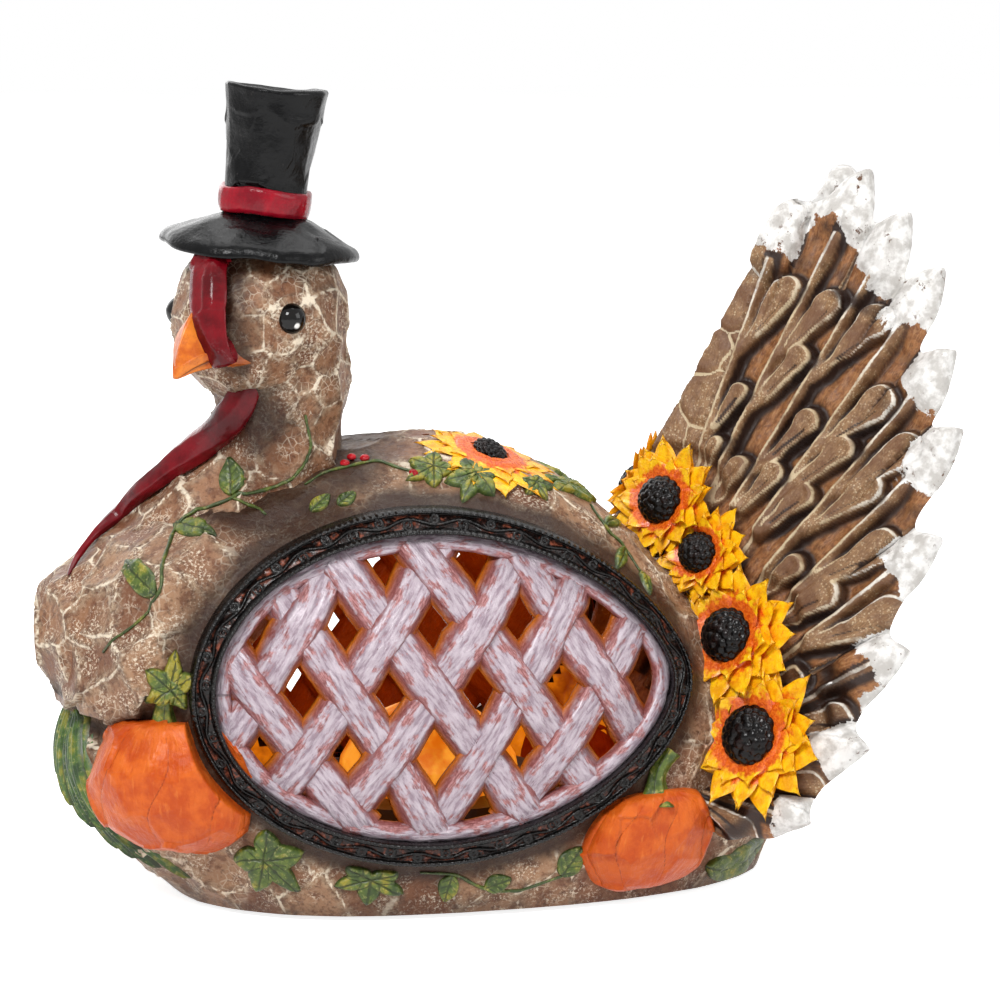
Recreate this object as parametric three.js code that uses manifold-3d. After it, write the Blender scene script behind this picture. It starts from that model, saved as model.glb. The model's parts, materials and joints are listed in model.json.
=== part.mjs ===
// Lit turkey figure: a hollow resin bird with an openwork window in each side and a pull-out battery light.
// Millimetres, +Z up, +X towards the tail. The head is turned to the -Y side.
import * as THREE from "three";
import { mergeVertices } from "three/addons/utils/BufferGeometryUtils.js";
import Module from "manifold-3d";

const wasm = await Module();
wasm.setup();

// Clearance between cast pieces that meet
const GAP = 0.3;
// Running clearance of the moving pieces
const PLAY = 0.4;

// Body casting: an egg with a squarish plan, cut flat underneath and hollow
const BODY_FRONT = 95;
const BODY_REAR = 84;
const BODY_HALF_WIDTH = 58;
const BODY_RISE = 63;
const BODY_DROP = 98;
const BODY_MID_HEIGHT = 58;
const BODY_REAR_SLOPE = 0.5;
const BODY_FRONT_SLOPE = 0.16;
const BODY_PLAN_POWER = 2.4;
const BODY_WALL = 5;
const BREAST_SWELL = 4;
const BREAST_LINE = -7;
const BREAST_CLIMB = 13;
const BELLY_SWELL = 9;
const BELLY_LINE = -34;
const BELLY_HALF_HEIGHT = 26;
const BODY_X = -20;

// Heights of the pieces on the body are given from the middle of the body

// Window in each side: an egg outline with its narrow end to the tail
const WINDOW_X = -28;
const WINDOW_RISE = 3.5;
const WINDOW_FRONT = 62;
const WINDOW_REAR = 70;
const WINDOW_HALF_HEIGHT = 45.5;
const WINDOW_TIP = 0.34;
const RIM_WIDTH = 6.2;
const RIM_PROUD = 3;

// Trellis that fills the window
const GRILLE_BORDER = 4.2;
const GRILLE_FACE = 1.6;
const GRILLE_THICKNESS = 4.4;
const SLAT_WIDTH = 8.4;
const SLAT_PITCH = 22.5;
const SLAT_LEAN = 34;
const SLAT_ROWS = 5;

// Neck and breast: radius at each point of the spine, from the head down
const NECK_SPINE = [
  [-64, -9, 95],
  [-60.5, -8, 82],
  [-61.5, -7, 69],
  [-64, -5, 55],
  [-74, -2, 39],
  [-90, 0, 21],
  [-103, 0, 12.5],
];
const NECK_RADII = [17, 18, 17, 19, 22.5, 24, 23];
const BREAST_SPREAD = 1.3;

// Head, turned from the -X direction towards the near side
const HEAD_CENTRE = [-66, -10, 96];
const HEAD_LENGTH_RADIUS = 24.5;
const HEAD_WIDTH_RADIUS = 22.5;
const HEAD_HEIGHT_RADIUS = 23;
const HEAD_TURN = 46;
const EYE_RADIUS = 4;
const EYE_ANGLE = 60;
const EYE_RISE = 1.5;
const EYE_STAND_OUT = 1.4;
const BEAK_REACH = 40.5;
const BEAK_DROP = 10.5;
const BEAK_HALF_WIDTH = 9.5;
const BEAK_HALF_HEIGHT = 10;
const SNOOD_HALF_WIDTH = 5;
const SNOOD_HALF_THICKNESS = 2.8;
const WATTLE_HALF_WIDTH = 4.6;
const WATTLE_HALF_THICKNESS = 4;

// Top hat
const HAT_BASE = [-65.5, -10.5, 118];
const HAT_TILT = 6.5;
const HAT_HEIGHT = 37.5;
const BRIM_RADIUS = 26;
const BRIM_THICKNESS = 3.4;
const BRIM_LIFT = 1.4;
const BRIM_DROOP = 7;
const CROWN_RADIUS = 10.4;
const CROWN_TOP_RADIUS = 13.4;
const BAND_LIFT = 1.6;
const BAND_WIDTH = 8;
const BAND_THICKNESS = 1.8;

// Tail: two half fans that meet on a leaning ridge
const RIDGE_FOOT = [44.5, 0, 62];
const RIDGE_LEAN = 30.4;
const FAN_SWEEP = 50;
const FAN_CENTRE_ACROSS = 30;
const FAN_CENTRE_UP = -5;
const FAN_HALF_SPREAD = 55;
const FAN_RISE = 86;
const FAN_DROP = 116;
const FAN_THICKNESS = 8;
const FEATHERS = 9;
const FEATHER_FIRST_ANGLE = 70;
const FEATHER_LAST_ANGLE = -56;
const FEATHER_HALF_WIDTH = 13;
const FEATHER_ROOT_TOP = [0, -62];
const FEATHER_ROOT_LOW = [28, -96];
const FEATHER_SINK = 1.8;
const WEB_REACH = 0.85;
const CAP_REACH = 0.95;
const RIDGE_BURIED = 36;
const LOBE_LIFT = 2;
const LOBE_SPACING = 45;
const ROOM_AT_ROOT = 5.5;
const ROOM_GAINED = 15.5;
const TIP_LIFT = 1.5;

// Sunflowers where the tail meets the body, from the top down
const FLOWER_HEIGHTS = [43, 30.5, 10.5, -13.5];
const FLOWER_RADII = [15, 12.5, 17, 18.5];
const FLOWER_OUTWARD = [15, 16.5, 8, 12];
const FLOWER_TURN = 12;
const FLOWER_PETALS = 9;
const FLOWER_THICKNESS = 3.4;
const FLOWER_STAND_OUT = 3.2;
const SEED_SHARE = 0.4;
const SEED_DOME = 4.4;

// Flower lying on the back
const BACK_FLOWER_X = -6;
const BACK_FLOWER_Y = -16;
const BACK_FLOWER_RADIUS = 17;
const BACK_FLOWER_PROUD = 2.4;

// Pumpkins low on each side: place on the body, half sizes and stem
const FRONT_PUMPKIN = { x: -94, rise: -21, half: 21.5, high: 19.5, out: 13 };
const REAR_PUMPKIN = { x: 30, rise: -39, half: 18.5, high: 14.5, out: 11 };
const STEM_RADIUS = 3.2;
const STEM_LENGTH = 9;
const PUMPKIN_RIBS = 5;
const PUMPKIN_RIB_DEPTH = 0.06;

// Leaf spray under the breast
const SPRAY_TOP = -6;
const SPRAY_LENGTH = 42;
const SPRAY_HALF_WIDTH = 20;
const SPRAY_PROUD = 4.5;

// Underside
const FOOT_HEIGHT = 1.5;
const FOOT_RADIUS = 6;
const FOOT_FRONT_X = -70;
const FOOT_REAR_X = 36;
const FOOT_HALF_SPAN = 24;
const BASE_THICKNESS = 6;

// Light unit that drops out of the base
const HOUSING_RADIUS = 36;
const HOUSING_HEIGHT = 24;
const FLANGE_LIP = 5;
const FLANGE_THICKNESS = 2.4;
const FLANGE_INSET = 0.4;
const GRIP_RING_THICKNESS = 1.2;
const BOARD_RADIUS = 15;
const BOARD_THICKNESS = 1.6;
const LED_RADIUS = 2.5;
const LED_HEIGHT = 8;
const DIFFUSER_RADIUS = 25;
const DIFFUSER_WALL = 1.6;
const DIFFUSER_HEIGHT = 22;
const LEAD_RADIUS = 0.7;

// Two AA cells side by side
const CELL_RADIUS = 7.25;
const CELL_LENGTH = 50.5;
const CELL_NUB_RADIUS = 2.6;
const CELL_NUB_LENGTH = 1.2;
const CONTACT_ROOM = 4;
const CONTACT_THICKNESS = 0.8;

// Battery door and switch
const DOOR_THICKNESS = 1.8;
const DOOR_LEDGE = 2;
const PIN_LENGTH = 1.6;
const SLIDER_LENGTH = 6;
const SLIDER_WIDTH = 4;
const SLIDER_DEPTH = 4;
const SLIDER_TRAVEL = 3;
const SLIDER_Y = 27;

const RESIN_BROWN = new THREE.MeshStandardMaterial({ color: 0x6b4423, roughness: 0.6, metalness: 0 });
const FEATHER_BROWN = new THREE.MeshStandardMaterial({ color: 0x7d5230, roughness: 0.6, metalness: 0 });
const WINDOW_BLACK = new THREE.MeshStandardMaterial({ color: 0x2a1c16, roughness: 0.4, metalness: 0 });
const TRELLIS_MAUVE = new THREE.MeshStandardMaterial({ color: 0x8d7076, roughness: 0.5, metalness: 0 });
const HAT_BLACK = new THREE.MeshStandardMaterial({ color: 0x161414, roughness: 0.3, metalness: 0 });
const GLOSS_RED = new THREE.MeshStandardMaterial({ color: 0x7a1512, roughness: 0.25, metalness: 0 });
const BEAK_ORANGE = new THREE.MeshStandardMaterial({ color: 0xd9822b, roughness: 0.4, metalness: 0 });
const EYE_BLACK = new THREE.MeshStandardMaterial({ color: 0x080808, roughness: 0.08, metalness: 0 });
const PETAL_YELLOW = new THREE.MeshStandardMaterial({ color: 0xe0a020, roughness: 0.35, metalness: 0 });
const SEED_BROWN = new THREE.MeshStandardMaterial({ color: 0x241510, roughness: 0.4, metalness: 0 });
const PUMPKIN_ORANGE = new THREE.MeshStandardMaterial({ color: 0xd0661c, roughness: 0.4, metalness: 0 });
const LEAF_GREEN = new THREE.MeshStandardMaterial({ color: 0x5a6a22, roughness: 0.5, metalness: 0 });
const HOUSING_BLACK = new THREE.MeshStandardMaterial({ color: 0x1c1c1e, roughness: 0.55, metalness: 0 });
const BASE_BROWN = new THREE.MeshStandardMaterial({ color: 0x4a3018, roughness: 0.7, metalness: 0 });
const RUBBER_GREY = new THREE.MeshStandardMaterial({ color: 0x2c2c2c, roughness: 0.9, metalness: 0 });
const BOARD_GREEN = new THREE.MeshStandardMaterial({ color: 0x1d5a34, roughness: 0.5, metalness: 0 });
const LED_WARM = new THREE.MeshStandardMaterial({ color: 0xffd9a0, roughness: 0.1, metalness: 0 });
const DIFFUSER_AMBER = new THREE.MeshStandardMaterial({ color: 0xf2a94a, roughness: 0.4, metalness: 0 });
const CELL_GREY = new THREE.MeshStandardMaterial({ color: 0x8a8d92, roughness: 0.35, metalness: 0.6 });
const CONTACT_STEEL = new THREE.MeshStandardMaterial({ color: 0xb8b8b4, roughness: 0.3, metalness: 1 });
const LEAD_RED = new THREE.MeshStandardMaterial({ color: 0xb01818, roughness: 0.6, metalness: 0 });
const LEAD_BLACK = new THREE.MeshStandardMaterial({ color: 0x151515, roughness: 0.6, metalness: 0 });
const SWITCH_WHITE = new THREE.MeshStandardMaterial({ color: 0xd8d6d0, roughness: 0.5, metalness: 0 });

const UP = new THREE.Vector3(0, 0, 1);
const SIDEWAYS = new THREE.Vector3(0, 1, 0);
const radians = THREE.MathUtils.degToRad;
const lerp = THREE.MathUtils.lerp;
const smoothstep = THREE.MathUtils.smoothstep;

// Point whose height is given from the middle of the body
function onBody([x, y, rise]) {
  return new THREE.Vector3(x, y, BODY_MID_HEIGHT + rise);
}

// Moves every vertex of a geometry with a function that edits the point in place
function reshape(geometry, move) {
  const position = geometry.getAttribute("position");
  const point = new THREE.Vector3();
  for (let i = 0; i < position.count; i += 1) {
    point.fromBufferAttribute(position, i);
    move(point);
    position.setXYZ(i, point.x, point.y, point.z);
  }
  return geometry;
}

// Welds a geometry and turns it into a solid for the booleans
function solidOf(geometry) {
  const bare = new THREE.BufferGeometry();
  bare.setAttribute("position", geometry.getAttribute("position"));
  bare.setIndex(geometry.getIndex());
  const welded = mergeVertices(bare, 1e-4);
  const corners = Array.from(welded.getIndex().array);
  const kept = [];
  for (let i = 0; i < corners.length; i += 3) {
    const [a, b, c] = corners.slice(i, i + 3);
    if (a !== b && b !== c && c !== a) {
      kept.push(a, b, c);
    }
  }
  const vertProperties = new Float32Array(welded.getAttribute("position").array);
  const mesh = new wasm.Mesh({ numProp: 3, vertProperties, triVerts: new Uint32Array(kept) });
  return new wasm.Manifold(mesh);
}

// Keeps the biggest piece when a cut leaves loose chips behind
function biggest(solid) {
  const pieces = solid.decompose();
  return pieces.reduce((best, piece) => (piece.volume() > best.volume() ? piece : best));
}

function geometryOf(solid) {
  const mesh = solid.getMesh();
  const geometry = new THREE.BufferGeometry();
  geometry.setAttribute("position", new THREE.BufferAttribute(new Float32Array(mesh.vertProperties), 3));
  geometry.setIndex(new THREE.BufferAttribute(new Uint32Array(mesh.triVerts), 1));
  return geometry;
}

const figure = new THREE.Group();

function addPiece(name, solid, material) {
  const whole = biggest(biggest(solid).simplify(0.1));
  const mesh = new THREE.Mesh(geometryOf(whole), material);
  mesh.name = name;
  figure.add(mesh);
  return mesh;
}

// Adds a near-side piece and its mirror on the far side
function addPair(name, solid, material) {
  addPiece(`${name}_near`, solid, material);
  addPiece(`${name}_far`, solid, material).scale.y = -1;
}

function addMirrored(name, solid, material) {
  addPiece(name, solid, material).scale.y = -1;
}

function box(fromX, toX, fromY, toY, fromZ, toZ) {
  const geometry = new THREE.BoxGeometry(toX - fromX, toY - fromY, toZ - fromZ);
  geometry.translate((fromX + toX) / 2, (fromY + toY) / 2, (fromZ + toZ) / 2);
  return solidOf(geometry);
}

// Upright cylinder standing on fromZ
function post(x, y, radius, fromZ, toZ, around = 32) {
  const geometry = new THREE.CylinderGeometry(radius, radius, toZ - fromZ, around);
  geometry.rotateX(Math.PI / 2);
  geometry.translate(x, y, (fromZ + toZ) / 2);
  return solidOf(geometry);
}

// Turned solid about a vertical axis from a closed profile of [radius, height] points
function turned(profile, around = 28) {
  const points = profile.map(([r, z]) => new THREE.Vector2(r, z));
  return new THREE.LatheGeometry(points, around).rotateX(Math.PI / 2);
}

// Solid swept along a curve; section(t) gives the half width along the hint direction and the half height
function sweep(curve, section, along, around, hint) {
  const geometry = new THREE.CylinderGeometry(1, 1, 1, around, along);
  reshape(geometry, (point) => {
    const t = THREE.MathUtils.clamp(0.5 - point.y, 0, 1);
    const tangent = curve.getTangent(t);
    const side = hint.clone().addScaledVector(tangent, -hint.dot(tangent)).normalize();
    const rise = new THREE.Vector3().crossVectors(tangent, side);
    const [halfWidth, halfHeight] = section(t);
    const centre = curve.getPoint(t);
    const across = point.x * halfWidth;
    const upward = point.z * halfHeight;
    point.copy(centre).addScaledVector(side, across).addScaledVector(rise, upward);
  });
  return solidOf(geometry);
}

// Value between the entries of a list, t from 0 to 1
function between(list, t) {
  const place = t * (list.length - 1);
  const index = Math.min(Math.floor(place), list.length - 2);
  return lerp(list[index], list[index + 1], place - index);
}

function ellipsoid(centre, axes, halves, around, down) {
  const geometry = new THREE.SphereGeometry(1, around, down).rotateX(Math.PI / 2);
  const matrix = new THREE.Matrix4().makeBasis(...axes).setPosition(centre);
  geometry.scale(...halves);
  geometry.applyMatrix4(matrix);
  return solidOf(geometry);
}

// Flat outline extruded along -Y from the middle plane, placed at (x, z)
function sidePrism(shape, x, z, segments = 7) {
  const options = { depth: 2 * BODY_HALF_WIDTH, bevelEnabled: false, curveSegments: segments };
  const geometry = new THREE.ExtrudeGeometry(shape, options);
  geometry.rotateX(Math.PI / 2);
  geometry.translate(x, 0, z);
  return solidOf(geometry);
}

// Half length of the body towards the tail or the breast, at a height above its middle
function bodyLength(towards, height) {
  return towards > 0 ? BODY_REAR - BODY_REAR_SLOPE * height : BODY_FRONT + BODY_FRONT_SLOPE * height;
}

// How far the breast swells out of the body: above a line that climbs towards the window, and clear of it
function breastSwell(x, z) {
  const ahead = (BODY_X - x) / BODY_FRONT;
  const line = BREAST_LINE + BREAST_CLIMB * (1 - smoothstep(ahead, 0.67, 0.97));
  const rise = z - BODY_MID_HEIGHT;
  const above = smoothstep(rise - line, 0, 3) * (1 - smoothstep(rise, 0.4 * BODY_RISE, 0.85 * BODY_RISE));
  const ring = Math.hypot((x - WINDOW_X) / WINDOW_FRONT, (rise - WINDOW_RISE) / WINDOW_HALF_HEIGHT);
  return BREAST_SWELL * above * smoothstep(ahead, 0.46, 0.67) * smoothstep(ring, 1.02, 1.2);
}

// How far the low front swells out, so that it stands nearly upright under the breast
function bellySwell(x, z) {
  const ahead = (BODY_X - x) / BODY_FRONT;
  const away = Math.abs(z - BODY_MID_HEIGHT - BELLY_LINE) / BELLY_HALF_HEIGHT;
  return BELLY_SWELL * (1 - Math.min(1, away) ** 2) * smoothstep(ahead, 0.55, 0.95);
}

// Outer skin of the body moved out by offset
function bodySolid(offset, around = 32, down = 18) {
  const geometry = new THREE.SphereGeometry(1, around, down).rotateX(Math.PI / 2);
  reshape(geometry, (point) => {
    const angle = Math.atan2(point.y, point.x);
    const power = BODY_PLAN_POWER;
    const corner = Math.abs(Math.cos(angle)) ** power + Math.abs(Math.sin(angle)) ** power;
    const flat = Math.hypot(point.x, point.y) * corner ** (-1 / power);
    const across = flat * Math.cos(angle);
    const aside = flat * Math.sin(angle);
    const height = point.z * ((point.z > 0 ? BODY_RISE : BODY_DROP) + offset);
    const x = BODY_X + across * (bodyLength(across, height) + offset);
    point.z = BODY_MID_HEIGHT + height;
    const grown = offset + breastSwell(x, point.z) + bellySwell(x, point.z);
    point.x = BODY_X + across * (bodyLength(across, height) + grown);
    point.y = aside * (BODY_HALF_WIDTH + grown);
  });
  return solidOf(geometry);
}

// How far out the body skin lies from the middle plane at a given x and height
function bodyHalfWidth(x, z) {
  const height = z - BODY_MID_HEIGHT;
  const level = height / (height > 0 ? BODY_RISE : BODY_DROP);
  const across = Math.abs(x - BODY_X) / bodyLength(x - BODY_X, height);
  const ring = Math.sqrt(Math.max(0, 1 - level * level)) ** BODY_PLAN_POWER;
  return BODY_HALF_WIDTH * Math.max(0, ring - across ** BODY_PLAN_POWER) ** (1 / BODY_PLAN_POWER);
}

// Outward direction of the body skin on the near side
function bodyNormal(x, z) {
  const step = 0.5;
  const slopeX = (bodyHalfWidth(x + step, z) - bodyHalfWidth(x - step, z)) / (2 * step);
  const slopeZ = (bodyHalfWidth(x, z + step) - bodyHalfWidth(x, z - step)) / (2 * step);
  return new THREE.Vector3(-slopeX, -1, -slopeZ).normalize();
}

const baseTop = FOOT_HEIGHT + BASE_THICKNESS;
const bodyGrown = bodySolid(GAP);
const underFloor = box(-500, 500, -500, 500, -500, FOOT_HEIGHT);
const windowHeight = BODY_MID_HEIGHT + WINDOW_RISE;

// Egg outline of the window, grown evenly
function eggOutline(grow, Kind = THREE.Shape) {
  const front = WINDOW_FRONT + grow;
  const rear = WINDOW_REAR + grow;
  const high = WINDOW_HALF_HEIGHT + grow;
  const round = 0.5523;
  const outline = new Kind();
  outline.moveTo(-front, 0);
  outline.bezierCurveTo(-front, -round * high, -round * front, -high, 0, -high);
  outline.bezierCurveTo(round * rear, -high, rear, -WINDOW_TIP * high, rear, 0);
  outline.bezierCurveTo(rear, WINDOW_TIP * high, round * rear, high, 0, high);
  outline.bezierCurveTo(-round * front, high, -front, round * high, -front, 0);
  return outline;
}

function eggPrism(grow) {
  return sidePrism(eggOutline(grow), WINDOW_X, windowHeight);
}

// Body shell: hollow, open underneath, with a window hole through each side
const windowHole = eggPrism(GAP);
const windowHoleFar = windowHole.mirror([0, 1, 0]);
let shell = bodySolid(0).subtract(underFloor);
shell = shell.subtract(bodySolid(-BODY_WALL, 26, 14));
shell = shell.subtract(windowHole).subtract(windowHoleFar);

// Window rim: a raised frame let into the hole
const rim = eggPrism(0)
  .subtract(eggPrism(-RIM_WIDTH))
  .intersect(bodySolid(RIM_PROUD).subtract(bodySolid(-BODY_WALL)));
const rimKeepOut = eggPrism(GAP).intersect(bodySolid(RIM_PROUD + GAP));

// Trellis: crossing planks inside a border, following the curve of the side
function trellis() {
  const inside = eggPrism(-RIM_WIDTH - GAP);
  const border = inside.subtract(eggPrism(-RIM_WIDTH - GAP - GRILLE_BORDER));
  const planks = [border];
  for (const lean of [SLAT_LEAN, -SLAT_LEAN]) {
    for (let row = -SLAT_ROWS; row <= SLAT_ROWS; row += 1) {
      const plank = new THREE.BoxGeometry(SLAT_WIDTH, 2 * BODY_HALF_WIDTH, 6 * WINDOW_HALF_HEIGHT);
      plank.rotateY(radians(lean + 2.5 * Math.sin(2.3 * row + lean)));
      plank.translate(WINDOW_X + row * SLAT_PITCH, -BODY_HALF_WIDTH, windowHeight);
      planks.push(solidOf(plank).intersect(inside));
    }
  }
  const skin = bodySolid(-GRILLE_FACE, 24, 12).subtract(bodySolid(-GRILLE_FACE - GRILLE_THICKNESS, 24, 12));
  return wasm.Manifold.union(planks).intersect(skin);
}

// Head axes: the way the beak points, the side of the near eye, and up
const turn = radians(180 + HEAD_TURN);
const headForward = new THREE.Vector3(Math.cos(turn), Math.sin(turn), 0);
const headSide = new THREE.Vector3().crossVectors(UP, headForward);
const headCentre = onBody(HEAD_CENTRE);

function onHead(forward, side, rise) {
  const point = headCentre.clone().addScaledVector(headForward, forward);
  return point.addScaledVector(headSide, side).addScaledVector(UP, rise);
}

const neckCurve = new THREE.CatmullRomCurve3(NECK_SPINE.map(onBody));
const breastEnd = onBody(NECK_SPINE.at(-1));
const breastRadius = NECK_RADII.at(-1);

function breastSpread(t) {
  return lerp(1, BREAST_SPREAD, THREE.MathUtils.smoothstep(t, 0.4, 0.85));
}

function neckAndHead(offset) {
  const section = (t) => {
    const radius = between(NECK_RADII, t);
    return [radius * breastSpread(t) + offset, radius + offset];
  };
  const neck = sweep(neckCurve, section, 9, 14, SIDEWAYS);
  const tangent = neckCurve.getTangent(1);
  const rise = new THREE.Vector3().crossVectors(tangent, SIDEWAYS);
  const low = breastRadius + offset;
  const cap = ellipsoid(breastEnd, [tangent, SIDEWAYS, rise], [low, low * BREAST_SPREAD, low], 14, 8);
  const halves = [HEAD_LENGTH_RADIUS + offset, HEAD_WIDTH_RADIUS + offset, HEAD_HEIGHT_RADIUS + offset];
  const head = ellipsoid(headCentre, [headForward, headSide, UP], halves, 18, 10);
  return neck.add(cap).add(head);
}

// Beak: hooked down at its tip
function beak(offset) {
  const path = new THREE.CatmullRomCurve3([
    onHead(HEAD_LENGTH_RADIUS - 8, 0, -0.3 * BEAK_DROP),
    onHead(lerp(HEAD_LENGTH_RADIUS, BEAK_REACH, 0.3), 0, -0.48 * BEAK_DROP),
    onHead(lerp(HEAD_LENGTH_RADIUS, BEAK_REACH, 0.75), 0, -0.76 * BEAK_DROP),
    onHead(BEAK_REACH, 0, -BEAK_DROP),
  ]);
  const section = (t) => {
    const slim = Math.max(0.12, 1 - t ** 1.5);
    return [BEAK_HALF_WIDTH * slim + offset, BEAK_HALF_HEIGHT * slim + offset];
  };
  return sweep(path, section, 5, 10, headSide);
}

// Snood: the fleshy strip from the forehead down over the side of the beak
function snood(offset) {
  const lengthwise = HEAD_LENGTH_RADIUS;
  const path = new THREE.CatmullRomCurve3([
    onHead(0.76 * lengthwise, -1, 0.66 * HEAD_HEIGHT_RADIUS),
    onHead(lengthwise - 0.5, 0, 0.36 * HEAD_HEIGHT_RADIUS),
    onHead(lengthwise + 4, 2, 0),
    onHead(lengthwise + 6, 4.5, -0.26 * HEAD_HEIGHT_RADIUS),
    onHead(lengthwise + 5, 6.5, -0.48 * HEAD_HEIGHT_RADIUS),
  ]);
  const section = (t) => {
    const full = Math.sqrt(Math.max(0.15, 1 - (2 * t - 1) ** 6));
    return [SNOOD_HALF_WIDTH * full + offset, SNOOD_HALF_THICKNESS * full + offset];
  };
  return sweep(path, section, 7, 8, headSide);
}

// Point a little out from the front of the neck at the given share of the spine, turned towards the near side
function neckFront(t, out, degrees = 0) {
  const tangent = neckCurve.getTangent(t);
  const front = new THREE.Vector3().crossVectors(SIDEWAYS, tangent).normalize();
  front.applyAxisAngle(tangent, radians(-degrees));
  const radius = between(NECK_RADII, t);
  return neckCurve.getPoint(t).addScaledVector(front, radius + out);
}

// Wattle: hangs from the chin and lies down the front of the neck to the breast
function wattle(offset) {
  const path = new THREE.CatmullRomCurve3([
    onHead(0.62 * HEAD_LENGTH_RADIUS, 2, -0.62 * HEAD_HEIGHT_RADIUS),
    neckFront(0.33, 3.6, 36),
    neckFront(0.48, 2.6, 16),
    neckFront(0.63, 2.2, 4),
    neckFront(0.78, 1.6),
    neckFront(0.92, 1.2),
    breastEnd.clone().add(new THREE.Vector3(-0.78, 0, 0.62).multiplyScalar(breastRadius + 0.6)),
  ]);
  const section = (t) => {
    const slim = Math.max(0.25, Math.sqrt(Math.max(0, 1 - t ** 2.2)) * (t < 0.12 ? 0.55 + 3.75 * t : 1));
    return [WATTLE_HALF_WIDTH * slim + offset, WATTLE_HALF_THICKNESS * slim + offset];
  };
  return sweep(path, section, 10, 8, SIDEWAYS);
}

function eyeCentre(side) {
  const angle = radians(EYE_ANGLE);
  const forward = Math.cos(angle) * HEAD_LENGTH_RADIUS;
  const aside = Math.sin(angle) * HEAD_WIDTH_RADIUS;
  const skin = onHead(forward, side * aside, EYE_RISE);
  const outward = skin.clone().sub(onHead(0, 0, EYE_RISE)).normalize();
  return skin.addScaledVector(outward, EYE_STAND_OUT - EYE_RADIUS);
}

function eye(side, offset) {
  const geometry = new THREE.SphereGeometry(EYE_RADIUS + offset, 10, 6);
  geometry.translate(...eyeCentre(side).toArray());
  return solidOf(geometry);
}

// Stands a turned piece of the hat on the head
function onHat(geometry) {
  geometry.rotateY(radians(HAT_TILT));
  geometry.translate(...onBody(HAT_BASE).toArray());
  return solidOf(geometry);
}

function crownRadius(height) {
  const t = THREE.MathUtils.clamp(height / HAT_HEIGHT, 0, 1);
  return lerp(CROWN_RADIUS, CROWN_TOP_RADIUS, t * t);
}

// Hat: a solid crown on a brim that droops to a wavy edge
function hat(offset) {
  const profile = [
    [0, -offset],
    [0.62 * BRIM_RADIUS, -offset],
    [BRIM_RADIUS - 0.8 + offset, -offset],
    [BRIM_RADIUS + offset, BRIM_THICKNESS / 2],
    [BRIM_RADIUS - 0.8 + offset, BRIM_THICKNESS + offset],
    [crownRadius(0) + 2.2 + offset, BRIM_THICKNESS + offset],
    [crownRadius(BRIM_THICKNESS) + offset, BRIM_THICKNESS + 1.6 + offset],
    [crownRadius(HAT_HEIGHT / 3) + offset, HAT_HEIGHT / 3],
    [crownRadius(0.66 * HAT_HEIGHT) + offset, 0.66 * HAT_HEIGHT],
    [crownRadius(0.96 * HAT_HEIGHT) + offset, HAT_HEIGHT - 1.2 + offset],
    [crownRadius(HAT_HEIGHT) - 1 + offset, HAT_HEIGHT + offset],
    [0, HAT_HEIGHT + offset],
  ];
  const geometry = turned(profile, 20);
  reshape(geometry, (point) => {
    const beyond = Math.hypot(point.x, point.y) - CROWN_RADIUS - 2;
    const share = THREE.MathUtils.clamp(beyond / (BRIM_RADIUS - CROWN_RADIUS - 2), 0, 1);
    const angle = Math.atan2(point.y, point.x);
    if (point.z < HAT_HEIGHT / 4) {
      point.z += BRIM_LIFT * share * share * Math.cos(2 * angle + 0.5) - BRIM_DROOP * share ** 1.4;
    }
  });
  return onHat(geometry);
}

function hatBand(offset) {
  const low = BRIM_THICKNESS + BAND_LIFT;
  const high = low + BAND_WIDTH;
  const profile = [
    [crownRadius(low) - BAND_THICKNESS / 2 - offset, low - offset],
    [crownRadius(low) + BAND_THICKNESS / 2 + offset, low - offset],
    [crownRadius(high) + BAND_THICKNESS / 2 + offset, high + offset],
    [crownRadius(high) - BAND_THICKNESS / 2 - offset, high + offset],
    [crownRadius(low) - BAND_THICKNESS / 2 - offset, low - offset],
  ];
  return onHat(turned(profile, 20));
}

// Tail plane of the near half: across is level and swept back, up climbs the fan
const sweepAngle = radians(FAN_SWEEP);
const ridgeFoot = onBody(RIDGE_FOOT);
const ridgeUp = new THREE.Vector3(Math.sin(radians(RIDGE_LEAN)), 0, Math.cos(radians(RIDGE_LEAN)));
const fanAcross = new THREE.Vector3(Math.sin(sweepAngle), -Math.cos(sweepAngle), 0);
const fanUp = ridgeUp.clone().addScaledVector(fanAcross, -ridgeUp.dot(fanAcross)).normalize();
const fanFront = new THREE.Vector3().crossVectors(fanAcross, fanUp);
const fanMatrix = new THREE.Matrix4().makeBasis(fanAcross, fanUp, fanFront).setPosition(ridgeFoot);

// Outline in the tail plane made solid from back to front
function fanPlate(points, back, front) {
  const shape = new THREE.Shape(points);
  const geometry = new THREE.ExtrudeGeometry(shape, { depth: front - back, bevelEnabled: false });
  return solidOf(geometry.translate(0, 0, back));
}

// Widths of a leaf or feather and of its end alone: share of the length, share of the half width
const WHOLE_LEAF = [[0, 0.5], [0.55, 1], [0.76, 0.8], [0.9, 0.62], [0.97, 0.4]];
const LEAF_END = [[0.83, 0.6], [0.93, 0.52]];

// Leaf outline from root to tip
function leaf(root, tip, halfWidth, stations) {
  const along = tip.clone().sub(root);
  const aside = new THREE.Vector2(-along.y, along.x).normalize();
  const side = (sign) => stations.map(([t, share]) => {
    const edge = root.clone().addScaledVector(along, t);
    return edge.addScaledVector(aside, sign * share * halfWidth);
  });
  return [...side(-1), tip.clone(), ...side(1).reverse()];
}

function featherTip(index) {
  const angle = radians(lerp(FEATHER_FIRST_ANGLE, FEATHER_LAST_ANGLE, index / (FEATHERS - 1)));
  const climb = angle > 0 ? FAN_RISE : FAN_DROP;
  const across = FAN_CENTRE_ACROSS + FAN_HALF_SPREAD * Math.cos(angle);
  return new THREE.Vector2(across, FAN_CENTRE_UP + climb * Math.sin(angle));
}

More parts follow.
